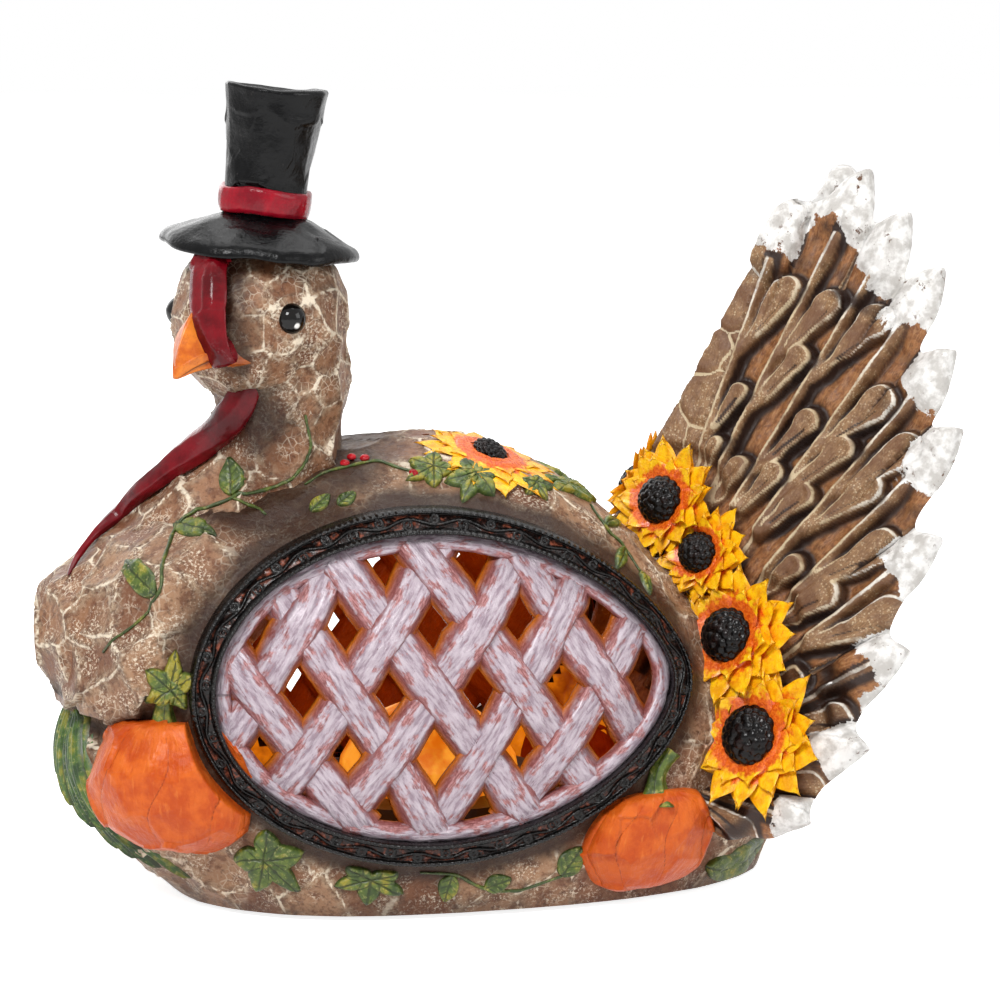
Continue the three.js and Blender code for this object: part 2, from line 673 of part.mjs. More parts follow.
function featherRoot(index) {
  const top = new THREE.Vector2(...FEATHER_ROOT_TOP);
  return top.lerp(new THREE.Vector2(...FEATHER_ROOT_LOW), index / (FEATHERS - 1));
}

// Rounded lobes that a feather lays over the next one below it
function featherLobes(index, root, tip) {
  const length = root.distanceTo(tip);
  const along = tip.clone().sub(root).normalize();
  const below = new THREE.Vector2(along.y, -along.x);
  const count = Math.max(1, Math.round(length / LOBE_SPACING));
  const lobes = [];
  for (let number = 0; number < count; number += 1) {
    const shuffle = ((7 * index + 3 * number + 20) % 5) / 5;
    const reach = 0.4 + (0.48 * (number + 0.7 * shuffle)) / count;
    const room = ROOM_AT_ROOT + ROOM_GAINED * reach;
    const at = (s, d) => root.clone().addScaledVector(along, s).addScaledVector(below, d);
    const end = at(reach * length, 0.6 * room);
    const start = at(reach * length - 1.15 * room - 4, 0.12 * room);
    const heading = end.clone().sub(start).angle();
    const round = (centre, radius, angles) => angles.map((angle) => {
      const facing = heading + radians(angle);
      return new THREE.Vector2(Math.cos(facing), Math.sin(facing)).multiplyScalar(radius).add(centre);
    });
    const far = round(end, 0.34 * room, [-90, -35, 35, 90]);
    const near = round(start, 0.16 * room, [90, -90]);
    lobes.push(fanPlate([...far, ...near], -FAN_THICKNESS / 2, LOBE_LIFT));
  }
  return lobes;
}

// Half fan: feathers joined by a web, with raised lobes and raised ends
function halfFan() {
  const outlines = [];
  const lobes = [];
  const webTips = [];
  const webRoots = [];
  const ridge = new THREE.Vector2(ridgeUp.dot(fanAcross), ridgeUp.dot(fanUp));
  const ridgeTip = ridge.clone().multiplyScalar(0.84 * FAN_RISE);
  const ridgeEnds = [ridge.clone().multiplyScalar(-RIDGE_BURIED), ridgeTip.clone().multiplyScalar(CAP_REACH)];
  for (let index = -1; index < FEATHERS; index += 1) {
    const root = featherRoot(Math.max(index, 0));
    const tip = index < 0 ? ridgeTip : featherTip(index);
    outlines.push(leaf(root, tip, FEATHER_HALF_WIDTH, WHOLE_LEAF));
    lobes.push(...featherLobes(index, root, tip));
    lobes.push(fanPlate(leaf(root, tip, FEATHER_HALF_WIDTH, LEAF_END), -FAN_THICKNESS / 2, TIP_LIFT));
    if (index >= 0) {
      webTips.push(root.clone().lerp(tip, index === 0 ? CAP_REACH : WEB_REACH));
      webRoots.unshift(root);
    }
  }
  outlines.push([...webRoots, ...ridgeEnds, ...webTips]);
  const layer = (front) => {
    const plates = outlines.map((outline) => fanPlate(outline, -FAN_THICKNESS, front));
    return wasm.Manifold.union(plates);
  };
  const raised = wasm.Manifold.union(lobes).intersect(layer(LOBE_LIFT));
  return layer(-FEATHER_SINK).add(raised).simplify(0.05).transform(fanMatrix.elements);
}

// Place where the tail plane comes out of the body side, at a height from the middle of the body
function tailJunction(rise) {
  const climb = (BODY_MID_HEIGHT + rise - ridgeFoot.z) / ridgeUp.z;
  const start = ridgeFoot.clone().addScaledVector(ridgeUp, climb);
  let inside = 0;
  let outside = 200;
  for (let step = 0; step < 30; step += 1) {
    const middle = (inside + outside) / 2;
    const point = start.clone().addScaledVector(fanAcross, middle);
    if (-point.y < bodyHalfWidth(point.x, point.z)) {
      inside = middle;
    } else {
      outside = middle;
    }
  }
  return start.addScaledVector(fanAcross, inside);
}

// Frame of one sunflower on the near side: it lies on the tail, turned a little towards the breast
function flowerMatrix(index) {
  const place = tailJunction(FLOWER_HEIGHTS[index]);
  const facing = fanFront.clone().applyAxisAngle(UP, -radians(FLOWER_TURN));
  const level = new THREE.Vector3().crossVectors(UP, facing).normalize();
  const upward = new THREE.Vector3().crossVectors(facing, level);
  place.addScaledVector(fanAcross, FLOWER_OUTWARD[index]).addScaledVector(facing, FLOWER_STAND_OUT);
  return new THREE.Matrix4().makeBasis(level, upward, facing).setPosition(place);
}

function petalOutline(radius) {
  const points = [];
  for (let index = 0; index < 2 * FLOWER_PETALS; index += 1) {
    const angle = (Math.PI * index) / FLOWER_PETALS;
    const reach = index % 2 === 0 ? radius : 0.74 * radius;
    points.push(new THREE.Vector2(reach * Math.cos(angle), reach * Math.sin(angle)));
  }
  return points;
}

function petals(index) {
  const shape = new THREE.Shape(petalOutline(FLOWER_RADII[index]));
  const geometry = new THREE.ExtrudeGeometry(shape, { depth: FLOWER_THICKNESS, bevelEnabled: false });
  geometry.translate(0, 0, -FLOWER_THICKNESS / 2);
  return solidOf(geometry.applyMatrix4(flowerMatrix(index)));
}

// Room that one flower takes up, clear of its petals and its seed head
function flowerRoom(index) {
  const depth = FLOWER_THICKNESS + SEED_DOME + 2 * GAP;
  const radius = FLOWER_RADII[index] + GAP;
  const geometry = new THREE.CylinderGeometry(radius, radius, depth, 2 * FLOWER_PETALS);
  geometry.rotateX(Math.PI / 2);
  geometry.translate(0, 0, depth / 2 - FLOWER_THICKNESS / 2 - GAP);
  return solidOf(geometry.applyMatrix4(flowerMatrix(index)));
}

// Seed head: a flat dome let into the middle of the petals
function seedHead(index, grow) {
  const radius = SEED_SHARE * FLOWER_RADII[index] + grow;
  const profile = [
    [0, -grow],
    [radius, -grow],
    [radius, FLOWER_THICKNESS / 2],
    [0.8 * radius, FLOWER_THICKNESS / 2 + 0.6 * SEED_DOME],
    [0.4 * radius, FLOWER_THICKNESS / 2 + 0.95 * SEED_DOME],
    [0, FLOWER_THICKNESS / 2 + SEED_DOME],
  ];
  return solidOf(turned(profile, 12).applyMatrix4(flowerMatrix(index)));
}

// Pumpkin frame: sits on the body skin, its middle sunk to the skin
function pumpkinAxes(pumpkin) {
  const outward = bodyNormal(pumpkin.x, BODY_MID_HEIGHT + pumpkin.rise).setZ(0).normalize();
  const level = new THREE.Vector3().crossVectors(UP, outward).normalize();
  return [level, outward, UP];
}

function pumpkinCentre(pumpkin) {
  const height = BODY_MID_HEIGHT + pumpkin.rise;
  return new THREE.Vector3(pumpkin.x, -bodyHalfWidth(pumpkin.x, height), height);
}

function pumpkinSolid(pumpkin, offset) {
  const [level, outward, up] = pumpkinAxes(pumpkin);
  const geometry = new THREE.SphereGeometry(1, 4 * PUMPKIN_RIBS, 8).rotateX(Math.PI / 2);
  reshape(geometry, (point) => {
    const angle = Math.atan2(point.y, point.x);
    const rib = 1 - PUMPKIN_RIB_DEPTH * (1 - Math.abs(Math.sin(angle * PUMPKIN_RIBS)));
    const dimple = 1 - 0.18 * (1 - Math.hypot(point.x, point.y)) ** 2;
    point.multiply(new THREE.Vector3(rib, rib, dimple));
    point.multiply(new THREE.Vector3(pumpkin.half + offset, pumpkin.out + offset, pumpkin.high + offset));
  });
  const matrix = new THREE.Matrix4().makeBasis(level.negate(), outward, up);
  geometry.applyMatrix4(matrix.setPosition(pumpkinCentre(pumpkin)));
  return solidOf(geometry);
}

function stem(pumpkin, offset) {
  const [level, outward, up] = pumpkinAxes(pumpkin);
  const foot = pumpkinCentre(pumpkin).addScaledVector(outward, 0.3 * pumpkin.out);
  const path = new THREE.QuadraticBezierCurve3(
    foot.clone().addScaledVector(up, 0.72 * pumpkin.high),
    foot.clone().addScaledVector(up, pumpkin.high + 0.5 * STEM_LENGTH),
    foot.clone().addScaledVector(up, pumpkin.high + STEM_LENGTH).addScaledVector(level, 0.5 * STEM_LENGTH),
  );
  const section = (t) => {
    const radius = lerp(1.2, 0.7, t) * STEM_RADIUS + offset;
    return [radius, radius];
  };
  return sweep(path, section, 4, 8, outward);
}

// Room that a pumpkin and its stem take up on the near side
function pumpkinRoom(pumpkin) {
  return pumpkinSolid(pumpkin, 1.2 * GAP).add(stem(pumpkin, GAP));
}

// Flower lying over the ridge of the back
function backFlower() {
  const shape = new THREE.Shape(petalOutline(BACK_FLOWER_RADIUS));
  const geometry = new THREE.ExtrudeGeometry(shape, { depth: 2 * BODY_RISE, bevelEnabled: false });
  geometry.translate(BACK_FLOWER_X, BACK_FLOWER_Y, BODY_MID_HEIGHT);
  const shallow = bodySolid(BACK_FLOWER_PROUD).subtract(bodyGrown);
  return solidOf(geometry).intersect(shallow);
}

// Spray of leaves hanging below the breast
function leafSpray() {
  const leaves = [];
  for (const aside of [-1, 0, 1]) {
    const tip = new THREE.Vector2(aside * SPRAY_HALF_WIDTH, -SPRAY_LENGTH);
    const root = new THREE.Vector2(0, 0);
    const outline = new THREE.Shape(leaf(root, tip, 0.42 * SPRAY_HALF_WIDTH, WHOLE_LEAF));
    const geometry = new THREE.ExtrudeGeometry(outline, { depth: 2 * BODY_FRONT, bevelEnabled: false });
    geometry.rotateX(Math.PI / 2);
    geometry.rotateZ(-Math.PI / 2);
    geometry.translate(BODY_X, 0, BODY_MID_HEIGHT + SPRAY_TOP);
    leaves.push(solidOf(geometry));
  }
  const shallow = bodySolid(SPRAY_PROUD).subtract(bodyGrown).subtract(underFloor);
  return wasm.Manifold.union(leaves).intersect(shallow).subtract(neckAndHead(GAP));
}

// Light unit levels
const flangeLow = FOOT_HEIGHT + FLANGE_INSET;
const flangeTop = flangeLow + FLANGE_THICKNESS;
const housingTop = flangeLow + HOUSING_HEIGHT;
const flangeRadius = HOUSING_RADIUS + FLANGE_LIP;
const lightX = BODY_X;
const socketRadius = HOUSING_RADIUS + GRIP_RING_THICKNESS + 2 * GAP;

// Battery pocket sizes follow the cells
const pocketHalfLength = CELL_LENGTH / 2 + CONTACT_ROOM;
const cellSpacing = CELL_RADIUS + GAP;
const pocketHalfWidth = cellSpacing + CELL_RADIUS + PLAY;
const doorLow = flangeLow;
const doorTop = doorLow + DOOR_THICKNESS;
const cellHeight = doorTop + GAP + CELL_RADIUS;
const pocketTop = cellHeight + CELL_RADIUS + 2 * LEAD_RADIUS + 2 * GAP;
const rebateHalfLength = pocketHalfLength + DOOR_LEDGE;
const rebateHalfWidth = pocketHalfWidth + DOOR_LEDGE;
const pinRadius = DOOR_THICKNESS / 2;
const hingeX = lightX - rebateHalfLength + pinRadius + PLAY;
const hingeHeight = doorLow + pinRadius;

// Bar along Y centred on the hinge line
function hingeBar(radius, halfLength) {
  const geometry = new THREE.CylinderGeometry(radius, radius, 2 * halfLength, 16);
  geometry.translate(hingeX, 0, hingeHeight);
  return solidOf(geometry);
}

function boxAt(halfLength, halfWidth, fromZ, toZ) {
  return box(lightX - halfLength, lightX + halfLength, -halfWidth, halfWidth, fromZ, toZ);
}

const sliderLow = flangeLow + GAP;
const sliderTop = sliderLow + SLIDER_DEPTH;
const sliderHalfRun = SLIDER_LENGTH / 2 + SLIDER_TRAVEL / 2 + PLAY;
const leadY = LEAD_RADIUS + GAP;
const leadX = lightX + BOARD_RADIUS + 3;

function housing() {
  let solid = post(lightX, 0, HOUSING_RADIUS, flangeLow, housingTop, 36);
  solid = solid.add(post(lightX, 0, flangeRadius, flangeLow, flangeTop, 36));
  solid = solid.subtract(boxAt(pocketHalfLength, pocketHalfWidth, flangeLow - 1, pocketTop));
  solid = solid.subtract(boxAt(rebateHalfLength, rebateHalfWidth, flangeLow - 1, doorTop + GAP));
  solid = solid.subtract(hingeBar(pinRadius + PLAY, rebateHalfWidth + PIN_LENGTH));
  const slotWidth = SLIDER_WIDTH / 2 + PLAY;
  const slotTop = sliderTop + GAP;
  const slotX = [lightX - sliderHalfRun, lightX + sliderHalfRun];
  const slotY = [SLIDER_Y - slotWidth, SLIDER_Y + slotWidth];
  solid = solid.subtract(box(...slotX, ...slotY, flangeLow - 1, slotTop));
  for (const side of [-1, 1]) {
    const hole = post(leadX, side * leadY, LEAD_RADIUS + 3 * GAP, pocketTop - 1, housingTop + 1, 10);
    solid = solid.subtract(hole);
  }
  return solid;
}

function batteryDoor() {
  const halfWidth = rebateHalfWidth - PLAY;
  const panel = box(hingeX, lightX + rebateHalfLength - PLAY, -halfWidth, halfWidth, doorLow, doorTop);
  return panel.add(hingeBar(pinRadius, rebateHalfWidth + PIN_LENGTH - PLAY));
}

// Cell lying along X with its nub at +X when facing is 1
function cell(side, facing) {
  const half = CELL_LENGTH / 2;
  const profile = [
    [0, -half],
    [CELL_RADIUS - 0.6, -half],
    [CELL_RADIUS, -half + 0.6],
    [CELL_RADIUS, half - CELL_NUB_LENGTH - 0.6],
    [CELL_RADIUS - 0.6, half - CELL_NUB_LENGTH],
    [CELL_NUB_RADIUS, half - CELL_NUB_LENGTH],
    [CELL_NUB_RADIUS, half],
    [0, half],
  ];
  const geometry = turned(profile, 14);
  geometry.rotateY(facing * Math.PI / 2);
  geometry.translate(lightX, side * cellSpacing, cellHeight);
  return solidOf(geometry);
}

// Contact plate on a pocket end wall with a boss that reaches each cell it serves
function contact(end, sides) {
  const wallX = lightX + end * (pocketHalfLength - GAP);
  const faceX = wallX - end * CONTACT_THICKNESS;
  const cellX = lightX + end * (CELL_LENGTH / 2 + GAP);
  const half = 0.8 * CELL_RADIUS;
  const low = Math.min(...sides) * cellSpacing - half;
  const high = Math.max(...sides) * cellSpacing + half;
  const span = [Math.min(wallX, faceX), Math.max(wallX, faceX)];
  let solid = box(...span, low, high, cellHeight - half, cellHeight + half);
  for (const side of sides) {
    const bossLength = Math.abs(wallX - cellX);
    const boss = new THREE.CylinderGeometry(1.8, 1.8, bossLength, 12);
    boss.rotateZ(Math.PI / 2);
    boss.translate((wallX + cellX) / 2, side * cellSpacing, cellHeight);
    solid = solid.add(solidOf(boss));
  }
  return solid;
}

// Lead from a contact along the ceiling of the pocket, up through the housing and over to the board
function lead(side) {
  const y = side * leadY;
  const ceiling = pocketTop - LEAD_RADIUS - GAP;
  const boardTop = housingTop + BOARD_THICKNESS;
  const start = lightX + pocketHalfLength - 2 * GAP - LEAD_RADIUS;
  const path = new THREE.CatmullRomCurve3([
    new THREE.Vector3(start, y, ceiling),
    new THREE.Vector3(lerp(start, leadX, 0.6), y, ceiling),
    new THREE.Vector3(leadX + 1.2, y, ceiling + 0.2),
    new THREE.Vector3(leadX, y, ceiling + 1.6),
    new THREE.Vector3(leadX, y, housingTop),
    new THREE.Vector3(leadX, y, boardTop + 1.5),
    new THREE.Vector3(leadX - 2, y, boardTop + 2.6),
    new THREE.Vector3(leadX - 4.5, y, boardTop + LEAD_RADIUS + GAP),
  ]);
  const round = new THREE.Shape().absarc(0, 0, LEAD_RADIUS, 0, 2 * Math.PI);
  const options = { steps: 16, curveSegments: 4, bevelEnabled: false, extrudePath: path };
  return solidOf(new THREE.ExtrudeGeometry(round, options));
}

// Dome that spreads the light, open underneath
function diffuser() {
  const outer = [];
  const inner = [];
  const steps = 5;
  for (let step = 0; step <= steps; step += 1) {
    const angle = (Math.PI / 2) * (step / steps);
    outer.push([DIFFUSER_RADIUS * Math.cos(angle), housingTop + DIFFUSER_HEIGHT * Math.sin(angle)]);
    const innerRadius = DIFFUSER_RADIUS - DIFFUSER_WALL;
    const innerHeight = DIFFUSER_HEIGHT - DIFFUSER_WALL;
    inner.unshift([innerRadius * Math.cos(angle), housingTop + innerHeight * Math.sin(angle)]);
  }
  outer[steps][0] = 0;
  inner[0][0] = 0;
  const geometry = turned([...outer, ...inner, outer[0]], 18);
  return solidOf(geometry.translate(lightX, 0, 0));
}

function led() {
  const low = housingTop + BOARD_THICKNESS;
  const profile = [
    [0, low],
    [LED_RADIUS + 0.4, low],
    [LED_RADIUS + 0.4, low + 1],
    [LED_RADIUS, low + 1],
    [LED_RADIUS, low + LED_HEIGHT - LED_RADIUS],
    [0.7 * LED_RADIUS, low + LED_HEIGHT - 0.3 * LED_RADIUS],
    [0, low + LED_HEIGHT],
  ];
  return solidOf(turned(profile, 14).translate(lightX, 0, 0));
}

// Base plate closes the shell and holds the light unit
function basePlate() {
  const slab = box(-500, 500, -500, 500, FOOT_HEIGHT, baseTop);
  let solid = bodySolid(-BODY_WALL - GAP, 26, 14).intersect(slab);
  solid = solid.subtract(post(lightX, 0, socketRadius, 0, baseTop + 1, 36));
  solid = solid.subtract(post(lightX, 0, flangeRadius + PLAY, 0, flangeTop + GAP, 36));
  return solid;
}

// Body, base and feet
addPiece("body_shell", shell, RESIN_BROWN);
addPiece("base_plate", basePlate(), BASE_BROWN);
let footNumber = 0;
for (const x of [FOOT_FRONT_X, FOOT_REAR_X]) {
  for (const side of [-1, 1]) {
    footNumber += 1;
    const pad = post(x, side * FOOT_HALF_SPAN, FOOT_RADIUS, 0, FOOT_HEIGHT, 16);
    addPiece(`foot_pad_${footNumber}`, pad, RUBBER_GREY);
  }
}

// Windows
addPair("window_rim", rim, WINDOW_BLACK);
addPair("window_trellis", trellis(), TRELLIS_MAUVE);

// Neck, head and hat
const hatSeat = hat(GAP).add(hatBand(GAP));
let neckHead = neckAndHead(0).subtract(bodyGrown).subtract(hatSeat);
neckHead = neckHead.subtract(beak(GAP)).subtract(snood(GAP)).subtract(wattle(GAP));
neckHead = neckHead.subtract(eye(1, GAP)).subtract(eye(-1, GAP));
addPiece("neck_head", neckHead, RESIN_BROWN);
addPiece("beak", beak(0).subtract(snood(GAP)), BEAK_ORANGE);
addPiece("snood", snood(0).subtract(hatSeat), GLOSS_RED);
addPiece("wattle", wattle(0).subtract(bodyGrown).subtract(beak(GAP)).subtract(snood(GAP)), GLOSS_RED);
addPiece("eye_near", eye(1, 0), EYE_BLACK);
addPiece("eye_far", eye(-1, 0), EYE_BLACK);
addPiece("hat", hat(0).subtract(hatBand(GAP)), HAT_BLACK);
addPiece("hat_band", hatBand(0), GLOSS_RED);

// Tail with pockets for the flowers and the pumpkins that sit in front of it
const flowerCount = FLOWER_HEIGHTS.length;
let pockets = pumpkinRoom(REAR_PUMPKIN);
for (let index = 0; index < flowerCount; index += 1) {
  pockets = pockets.add(flowerRoom(index));
}
let tail = halfFan();
tail = tail.add(tail.mirror([0, 1, 0])).subtract(pockets).subtract(pockets.mirror([0, 1, 0]));
tail = tail.subtract(bodyGrown).subtract(underFloor);
addPiece("tail_fan", tail, FEATHER_BROWN);

// Each flower stays clear of the body, the window rim, the pumpkin, its twin and the flowers below it
const farHalf = box(-500, 500, -GAP / 2, 500, -500, 500);
const flowerKeepOut = bodyGrown.add(rimKeepOut).add(farHalf).add(pumpkinRoom(REAR_PUMPKIN));
for (let index = 0; index < flowerCount; index += 1) {
  let ring = petals(index).subtract(flowerKeepOut);
  let dome = seedHead(index, 0).subtract(flowerKeepOut);
  for (let lower = index + 1; lower < flowerCount; lower += 1) {
    ring = ring.subtract(flowerRoom(lower));
    dome = dome.subtract(flowerRoom(lower));
  }
  ring = ring.subtract(seedHead(index, GAP));
  addPair(`sunflower_${index + 1}_petals`, ring, PETAL_YELLOW);
  addPair(`sunflower_${index + 1}_seeds`, dome, SEED_BROWN);
}
addPiece("back_flower", backFlower().subtract(rimKeepOut), PETAL_YELLOW);

// Pumpkins and leaves; the body's facets run differently on the two sides, so a pair keeps clear of both
const bodyRoom = bodyGrown.add(bodyGrown.mirror([0, 1, 0]));
for (const [name, pumpkin] of [["front_pumpkin", FRONT_PUMPKIN], ["rear_pumpkin", REAR_PUMPKIN]]) {
  const clear = (solid) => solid.subtract(bodyRoom).subtract(rimKeepOut).subtract(underFloor);
  const stalk = clear(stem(pumpkin, 0)).subtract(neckAndHead(GAP));
  const fruit = clear(pumpkinSolid(pumpkin, 0)).subtract(stem(pumpkin, GAP)).subtract(neckAndHead(GAP));
  addPair(name, fruit, PUMPKIN_ORANGE);
  addPair(`${name}_stem`, stalk, LEAF_GREEN);
}
const frontRoom = pumpkinRoom(FRONT_PUMPKIN);
const spray = leafSpray().subtract(frontRoom).subtract(frontRoom.mirror([0, 1, 0]));
addPiece("breast_leaf_spray", spray, LEAF_GREEN);

// Light unit
addPiece("light_housing", housing(), HOUSING_BLACK);
const gripLow = flangeTop + 2 * GAP;
const gripInner = HOUSING_RADIUS + GAP;
const grip = post(lightX, 0, gripInner + GRIP_RING_THICKNESS, gripLow, baseTop, 28)
  .subtract(post(lightX, 0, gripInner, 0, baseTop + 1, 36));
addPiece("grip_ring", grip, RUBBER_GREY);
const board = post(lightX, 0, BOARD_RADIUS, housingTop, housingTop + BOARD_THICKNESS, 20);
addPiece("led_board", board, BOARD_GREEN);
addPiece("led", led(), LED_WARM);
addPiece("diffuser", diffuser(), DIFFUSER_AMBER);
addPiece("cell_near", cell(-1, 1), CELL_GREY);
addPiece("cell_far", cell(1, -1), CELL_GREY);
addPiece("contact_bridge", contact(-1, [-1, 1]), CONTACT_STEEL);
addPiece("contact_plus", contact(1, [-1]), CONTACT_STEEL);
addPiece("contact_minus", contact(1, [1]), CONTACT_STEEL);
addPiece("lead_red", lead(-1), LEAD_RED);
addPiece("lead_black", lead(1), LEAD_BLACK);
addPiece("battery_door", batteryDoor(), HOUSING_BLACK);
const sliderX = lightX - SLIDER_TRAVEL / 2;
const slider = box(sliderX - SLIDER_LENGTH / 2, sliderX + SLIDER_LENGTH / 2, SLIDER_Y - SLIDER_WIDTH / 2,
  SLIDER_Y + SLIDER_WIDTH / 2, sliderLow, sliderTop);
addPiece("switch_slider", slider, SWITCH_WHITE);

// The origin is the middle of the footprint box, on the floor
const extent = new THREE.Box3().setFromObject(figure);
const middle = extent.getCenter(new THREE.Vector3());
figure.position.set(-middle.x, -middle.y, -extent.min.z);

export default figure;
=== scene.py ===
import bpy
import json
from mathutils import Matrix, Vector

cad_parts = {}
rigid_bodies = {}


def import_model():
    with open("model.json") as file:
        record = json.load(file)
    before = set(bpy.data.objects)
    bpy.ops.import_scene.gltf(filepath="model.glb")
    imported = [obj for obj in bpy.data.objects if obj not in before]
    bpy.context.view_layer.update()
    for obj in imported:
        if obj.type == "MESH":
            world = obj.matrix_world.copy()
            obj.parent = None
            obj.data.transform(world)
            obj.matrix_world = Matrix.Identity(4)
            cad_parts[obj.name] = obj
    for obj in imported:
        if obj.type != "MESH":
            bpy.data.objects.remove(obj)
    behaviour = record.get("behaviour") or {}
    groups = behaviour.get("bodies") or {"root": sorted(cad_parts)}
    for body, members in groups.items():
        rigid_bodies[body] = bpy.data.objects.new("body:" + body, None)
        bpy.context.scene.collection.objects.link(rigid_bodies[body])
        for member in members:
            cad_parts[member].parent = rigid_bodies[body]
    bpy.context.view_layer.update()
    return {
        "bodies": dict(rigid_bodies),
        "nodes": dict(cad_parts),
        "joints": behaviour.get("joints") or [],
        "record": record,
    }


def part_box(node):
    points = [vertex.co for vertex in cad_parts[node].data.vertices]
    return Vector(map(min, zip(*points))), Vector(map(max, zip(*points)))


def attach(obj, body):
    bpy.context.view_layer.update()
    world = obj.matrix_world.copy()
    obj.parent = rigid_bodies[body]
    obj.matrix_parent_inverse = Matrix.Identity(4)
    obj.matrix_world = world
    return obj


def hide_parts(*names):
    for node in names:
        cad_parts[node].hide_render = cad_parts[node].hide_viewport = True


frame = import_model()

import json
import math

import bpy
import numpy as np
from mathutils import Vector
from mathutils.bvhtree import BVHTree
from mathutils.kdtree import KDTree

nodes = frame["nodes"]

# All lengths below are in millimetres in the figure's own frame, and SHIFT brings them to the row frame
low_corner, high_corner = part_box("light_housing")
LIGHT_X = -20.0
SHIFT = np.array([(low_corner.x + high_corner.x) * 500 - LIGHT_X, 0, 0])

# Body
BODY_X = -20.0
BODY_FRONT = 95.0
BODY_REAR = 84.0
BODY_SIDE = 58.0
BODY_RISE = 63.0
BODY_DROP = 98.0
BODY_MID = 58.0
PLAN_POWER = 2.4
BELLY_SWELL = 9.0
BELLY_LINE = BODY_MID - 34.0
BELLY_HALF_HEIGHT = 26.0
FLOOR_CUT = 1.5
WALL = 5.0

# Window
EGG_X = -28.0
EGG_Z = 61.5
EGG_FRONT = 62.0
EGG_REAR = 70.0
EGG_HIGH = 45.5
EGG_TIP = 0.34
RIM_WIDTH = 6.2
SLAT_HALF = 4.2
SLAT_PITCH = 22.5
SLAT_LEAN = 34.0

# Head and neck
NECK_SPINE = np.array([
    [-64, -9, 153], [-60.5, -8, 140], [-61.5, -7, 127], [-64, -5, 113],
    [-74, -2, 97], [-90, 0, 79], [-103, 0, 70.5],
], float)
NECK_RADII = np.array([17, 18, 17, 19, 22.5, 24, 23], float)
HEAD = np.array([-66, -10, 154.0])
HEAD_RADII = np.array([24.5, 22.5, 23.0])
FORWARD = np.array([-0.695, -0.719, 0.0])
ASIDE = np.array([0.719, -0.695, 0.0])
UP = np.array([0, 0, 1.0])
EYE_ANGLE = math.radians(60)
EYE_RISE = 1.5
EYE_RADIUS = 4.15
EYE_SINK = 2.6

# Hat
HAT_BASE = np.array([-65.5, -10.5, 176.0])
HAT_TILT = math.radians(6.5)
HAT_HIGH = 37.5
BRIM_RADIUS = 26.0
BRIM_THICK = 3.4
BRIM_DROOP = 7.0
CROWN_LOW = 10.4
CROWN_HIGH = 13.4

# Tail
RIDGE_FOOT = np.array([44.5, 0, 120.0])
RIDGE_UP = np.array([0.506, 0, 0.862])
FAN_ACROSS = np.array([0.766, -0.643, 0])
FAN_UP = np.array([0.227, 0.270, 0.936])
FAN_FRONT = np.array([-0.602, -0.717, 0.353])


# Small tools for points

def unit(v):
    v = np.asarray(v, float)
    return v / np.maximum(np.linalg.norm(v, axis=-1, keepdims=True), 1e-9)


def ease(x, low, high):
    t = np.clip((np.asarray(x, float) - low) / (high - low), 0, 1)
    return t * t * (3 - 2 * t)


def hashed(ix, iy, iz, seed):
    n = (ix * 73856093) ^ (iy * 19349663) ^ (iz * 83492791) ^ (seed * 15485863)
    n = (n ^ (n >> 13)) * 1274126177 & 0x7FFFFFFF
    n = (n ^ (n >> 15)) * 1103515245 & 0x7FFFFFFF
    return ((n >> 8) & 0xFFFF) / 65535.0


def noise(p, size, seed=0):
    """Smooth noise from -1 to 1 with features of the given size."""
    q = np.asarray(p, float) / size
    i = np.floor(q).astype(np.int64)
    f = q - i
    f = f * f * (3 - 2 * f)
    total = 0
    for dx in (0, 1):
        for dy in (0, 1):
            for dz in (0, 1):
                weight = 1
                for axis, d in enumerate((dx, dy, dz)):
                    weight = weight * (f[..., axis] if d else 1 - f[..., axis])
                total = total + weight * hashed(i[..., 0] + dx, i[..., 1] + dy, i[..., 2] + dz, seed)
    return 2 * total - 1


def rough(p, size, seed=0, octaves=3):
    return sum(noise(p, size / 2 ** k, seed + k) / 2 ** k for k in range(octaves))


def curve(points, t):
    """Smooth curve through points, at shares t from 0 to 1."""
    points = np.asarray(points, float)
    t = np.atleast_1d(np.asarray(t, float))
    ends = np.vstack([2 * points[0] - points[1], points, 2 * points[-1] - points[-2]])
    u = np.clip(t, 0, 1) * (len(points) - 1)
    i = np.minimum(u.astype(int), len(points) - 2)
    w = (u - i)[:, None]
    p0, p1, p2, p3 = ends[i], ends[i + 1], ends[i + 2], ends[i + 3]
    d0, d1, d2 = [np.maximum(np.linalg.norm(b - a, axis=1, keepdims=True), 1e-6) ** 0.5
                  for a, b in ((p0, p1), (p1, p2), (p2, p3))]
    m1 = ((p1 - p0) / d0 - (p2 - p0) / (d0 + d1) + (p2 - p1) / d1) * d1
    m2 = ((p2 - p1) / d1 - (p3 - p1) / (d1 + d2) + (p3 - p2) / d2) * d1
    w2, w3 = w * w, w * w * w
    return (2 * w3 - 3 * w2 + 1) * p1 + (w3 - 2 * w2 + w) * m1 + (3 * w2 - 2 * w3) * p2 + (w3 - w2) * m2


def turns(count):
    """Even angles round a circle."""
    return np.arange(count) * 2 * np.pi / count


def between(values, t):
    values = np.asarray(values, float)
    return np.interp(np.clip(t, 0, 1) * (len(values) - 1), np.arange(len(values)), values)


# Small tools for meshes

def grid(rows, cols, wrap=False):
    """Quads of a grid of points, row after row."""
    r, c = np.meshgrid(np.arange(rows - 1), np.arange(cols if wrap else cols - 1), indexing="ij")
    n = (c + 1) % cols
    return np.stack([r * cols + c, r * cols + n, (r + 1) * cols + n, (r + 1) * cols + c], -1).reshape(-1, 4)


